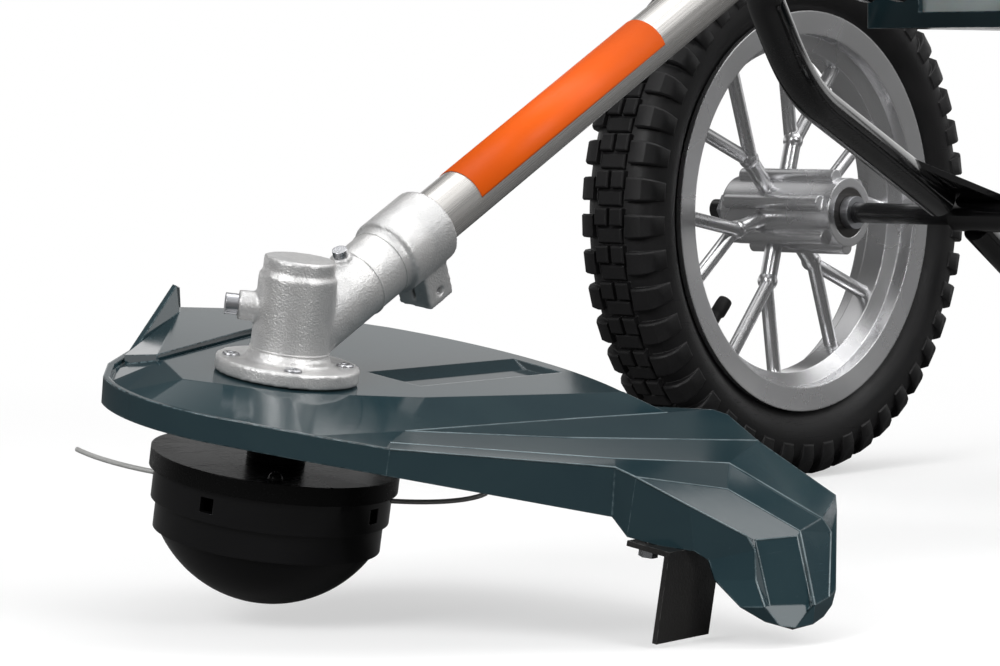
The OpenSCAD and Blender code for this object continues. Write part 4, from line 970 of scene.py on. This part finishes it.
# %% Throttle cable and cutting lines
def smooth_route(points, steps):
    """Catmull-Rom points: p(t) = half of (2b + (c-a)t + (2a-5b+4c-d)t^2 + (3b-a-3c+d)t^3) on each
    stretch b..c."""
    p = np.asarray(points, float)
    p = np.concatenate([[2 * p[0] - p[1]], p, [2 * p[-1] - p[-2]]])
    t = (np.arange(steps) / steps)[:, None]
    runs = []
    for a, b, c, d in zip(p, p[1:], p[2:], p[3:]):
        square = 2 * a - 5 * b + 4 * c - d
        cube = 3 * b - a - 3 * c + d
        runs.append(0.5 * (2 * b + (c - a) * t + square * t ** 2 + cube * t ** 3))
    return np.concatenate(runs + [p[-2:-1]])


def cord(name, route, diameter, body, slot):
    """A round curve through the route's points, in metres; returns it with its length."""
    data = bpy.data.curves.new(name, "CURVE")
    data.dimensions = "3D"
    data.bevel_depth = diameter / 2
    data.bevel_resolution = 5
    data.use_fill_caps = True
    spline = data.splines.new("POLY")
    spline.points.add(len(route) - 1)
    spline.points.foreach_set("co", np.column_stack([route, np.ones(len(route))]).ravel())
    spline.use_smooth = True
    piece = linked(name, data)
    dress(piece, FINISHES[slot])
    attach(piece, body)
    return piece, float(np.linalg.norm(np.diff(route, axis=0), axis=1).sum())


CABLE_ROUTE = np.array([(-574.6, -110, 850.1), (-520, -84.8, 790), (-293, -84.8, 548), (-160, -84.8, 379),
                        (0, -80, 392), (130, -76, 462), (234.3, -71.1, 492.6)]) * MM
cable, cable_length = cord("throttle_wire", smooth_route(CABLE_ROUTE, 6), 0.005, "frame", "black_plastic")
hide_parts("throttle_cable")
print("throttle cable", round(cable_length, 3), "m")

LINE_BEND, LINE_FROM, LINE_Z, LINE_STEPS = 70.0, 53.0, -74.5, 24


def line_route(turn, sweep):
    """An arc of the line's bend radius that leaves the head at the given turn and curls by the sweep."""
    side = math.copysign(1.0, sweep)
    a = np.radians(np.linspace(0, abs(sweep), LINE_STEPS))
    flat = np.stack([LINE_FROM + LINE_BEND * np.sin(a), side * LINE_BEND * (1 - np.cos(a))], axis=1)
    c, s = math.cos(math.radians(turn)), math.sin(math.radians(turn))
    spun = flat @ np.array([[c, s], [-s, c]])
    return from_gear(np.column_stack([spun, np.full(LINE_STEPS, LINE_Z)]))


for name, turn, sweep in (("rear_line", 141, 58), ("front_line", -64, -45)):
    route = line_route(turn, sweep)
    line, line_length = cord(name, route, 0.0024, "head", "nylon")
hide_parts("cutting_line")

# %% [markdown]
# ## Pieces that stretch
# The starter's rope runs from its reel to the grip, and the feed spring stands between the head and the
# bump knob. Each is built in place and left without a body.

# %% Starter rope and feed spring
ROPE_AT, ROPE_FROM, ROPE_TO, ROPE_R, ROPE_STEPS, ROPE_HELD = 639.2, 40.0, 60.5, 1.6, 42, 2
SPRING_LOW, SPRING_HIGH, SPRING_R, SPRING_TURNS, SPRING_STEPS, WIRE_R = -74.2, -62.8, 13.0, 3.5, 100, 0.6


def by_starter(heights):
    """Points on the line that the starter's grip is pulled along, at heights above the shaft's axis."""
    return GEAR_AT + SHAFT_DIR * ROPE_AT + np.outer(heights, SHAFT_UP)


pulled = swept(by_starter(np.linspace(ROPE_FROM, ROPE_TO, ROPE_STEPS)), ROPE_R, 10)
rope = piece_from("starter_rope", joined([pulled]), None, "nylon", 60)
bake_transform(rope)

turn = np.linspace(0, SPRING_TURNS * 2 * np.pi, SPRING_STEPS)
rise = np.linspace(SPRING_LOW, SPRING_HIGH, SPRING_STEPS)
coil = swept(circle(SPRING_R, turn, rise), WIRE_R, 8)
spring = piece_from("feed_spring", joined([coil], from_gear), None, "steel", 60)
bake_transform(spring)
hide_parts("spool_spring")

# %% [markdown]
# ## Valves
# The tyre's valve goes with the tyre: a rubber stem through the rim and a knurled cap.

# %% Turn one valve and place it on each wheel
VALVE_TURN = math.radians(-135)
VALVE = np.array([(79.0, 0.0), (79.0, 3.6), (79.6, 4.6), (82.5, 4.9), (90.2, 4.9), (91.0, 4.2), (92.4, 3.7),
                  (99.0, 4.0), (104.0, 4.0), (110.0, 4.0), (110.0, 0.0)])
KNURLED, KNURL = (80, 90.5), 0.94


def valve_set(ridges=24):
    """Radius along the stem against its thickness, turned round the stem; the cap's part is ridged."""
    around = np.arange(ridges * 2) * np.pi / ridges
    ridge = np.where(np.arange(ridges * 2) % 2, KNURL, 1.0)
    rings = []
    for out, thick in VALVE:
        knurl = ridge if KNURLED[0] < out < KNURLED[1] else 1.0
        rings.append(circle(thick * knurl, around, out))
    across, over, out = np.concatenate(rings).T
    c, s = math.cos(VALVE_TURN), math.sin(VALVE_TURN)
    points = np.stack([out * c - across * s, out * s + across * c, over], axis=1)
    return points, grid_faces(len(VALVE), ridges * 2, wrap_columns=True)


for side, on_wheel in WHEELS.items():
    piece_from(side + "_valve", joined([valve_set()], on_wheel), side + "_wheel", "tread_rubber", 40)

# %% [markdown]
# ## Light and floor
# The photograph has a white cut-out background and wide soft light. A pale floor fades to plain
# white away from the machine. What gloss reflects is dark between a low band behind the machine and
# a glow overhead, so that polished metal has contrast.

# %% Floor, sky and lamps
FLOOR_RADIUS, FLOOR_CORNERS = 14.0, 96
SHADOW_AT, SHADOW_FADE, SHADOW_WHITE = (0.35, 0.0, 0.0), (0.45, 1.5), 0.55
FLOOR_BOUNCE, FLOOR_TONE = 0.12, 0.93
BEHIND, EVEN_LIGHT, BAND_LIGHT = (-0.74, -0.67, 0.0), 0.42, 0.85
BAND_HEIGHT, BAND_WIDTH, GLOW_HEIGHT, GLOW_LIGHT = (0.42, 0.16), (-0.2, 0.5), (0.62, 0.9), (0.10, 1.0)


def grey(level):
    """A neutral colour of that strength."""
    return (level, level, level, 1.0)


def floor_material():
    """Matt white near the machine, for its shadow, that fades to plain white; grey for light that bounces."""
    material = bpy.data.materials.new("studio_floor")
    material.use_nodes = True
    tree = material.node_tree
    tree.nodes.remove(tree.nodes["Principled BSDF"])
    seen = add(tree, "ShaderNodeLightPath").outputs["Is Camera Ray"]
    tone = mix_colour(tree, seen, grey(FLOOR_BOUNCE), grey(FLOOR_TONE))
    matt = add(tree, "ShaderNodeBsdfDiffuse", {"Color": tone}).outputs[0]
    white = add(tree, "ShaderNodeEmission", {"Color": grey(1.0), "Strength": 1.0}).outputs[0]
    away = vector_value(tree, "DISTANCE", surface_point(tree), SHADOW_AT)
    share = math_node(tree, "MULTIPLY", ramp(tree, away, *SHADOW_FADE, SHADOW_WHITE, 1.0), seen)
    both = add(tree, "ShaderNodeMixShader", {0: share, 1: matt, 2: white})
    fill(tree, tree.nodes["Material Output"], {"Surface": both.outputs[0]})
    return material


def sky():
    """White where the camera looks. For gloss: dark, with a bright band low down behind the machine and a
    bright glow overhead. For plain light: an even level."""
    world = bpy.data.worlds.new("studio_sky")
    bpy.context.scene.world = world
    world.use_nodes = True
    tree = world.node_tree
    light = tree.nodes["Background"]
    place = add(tree, "ShaderNodeTexCoord").outputs["Generated"]
    height = add(tree, "ShaderNodeSeparateXYZ", {0: place}).outputs["Z"]
    behind = vector_value(tree, "DOT_PRODUCT", place, BEHIND)
    band = math_node(tree, "MULTIPLY", ramp(tree, height, *BAND_HEIGHT), ramp(tree, behind, *BAND_WIDTH))
    overhead = ramp(tree, height, *GLOW_HEIGHT, *GLOW_LIGHT)
    glow = math_node(tree, "ADD", overhead, math_node(tree, "MULTIPLY", band, BAND_LIGHT))
    path = add(tree, "ShaderNodeLightPath").outputs
    sockets = {0: path["Is Glossy Ray"], 2: EVEN_LIGHT, 3: glow}
    strength = add(tree, "ShaderNodeMix", sockets, data_type="FLOAT").outputs[0]
    fill(tree, light, {"Strength": strength, "Color": grey(1.0)})
    white = add(tree, "ShaderNodeBackground", {"Color": grey(1.0), "Strength": 1.0})
    sockets = {0: path["Is Camera Ray"], 1: light.outputs[0], 2: white.outputs[0]}
    seen = add(tree, "ShaderNodeMixShader", sockets)
    fill(tree, tree.nodes["World Output"], {"Surface": seen.outputs[0]})


disc = circle(FLOOR_RADIUS, even_turns(FLOOR_CORNERS), 0.0)
floor_mesh = bpy.data.meshes.new("studio_floor")
floor_mesh.from_pydata(disc.tolist(), [], [list(range(FLOOR_CORNERS))])
floor = linked("studio_floor", floor_mesh)
dress(floor, floor_material())
sky()


def softbox(name, at, aim, size, power):
    """A square area lamp at a point, turned so that its face looks at the aim."""
    lamp = linked(name, bpy.data.lights.new(name, "AREA"))
    lamp.data.size = size
    lamp.data.energy = power
    back = unit(np.array(at) - np.array(aim))
    side = unit(np.cross(UPRIGHT, back))
    stand(lamp, (side, np.cross(back, side), back), at)


softbox("left_box", (2.9, 0.2, 1.5), (0.6, 0.0, 0.15), 1.2, 46)
softbox("right_box", (0.9, 2.5, 1.4), (0.5, 0.0, 0.2), 1.2, 38)
softbox("top_box", (0.2, -0.2, 2.6), (0.4, 0.0, 0.2), 1.6, 20)
softbox("back_box", (-0.8, 0.9, 1.96), (0.6, 0.2, 0.1), 1.8, 22)

# %% [markdown]
# ## View
# The render uses the Standard view transform.

# %% Set the view transform
bpy.context.scene.view_settings.view_transform = "Standard"
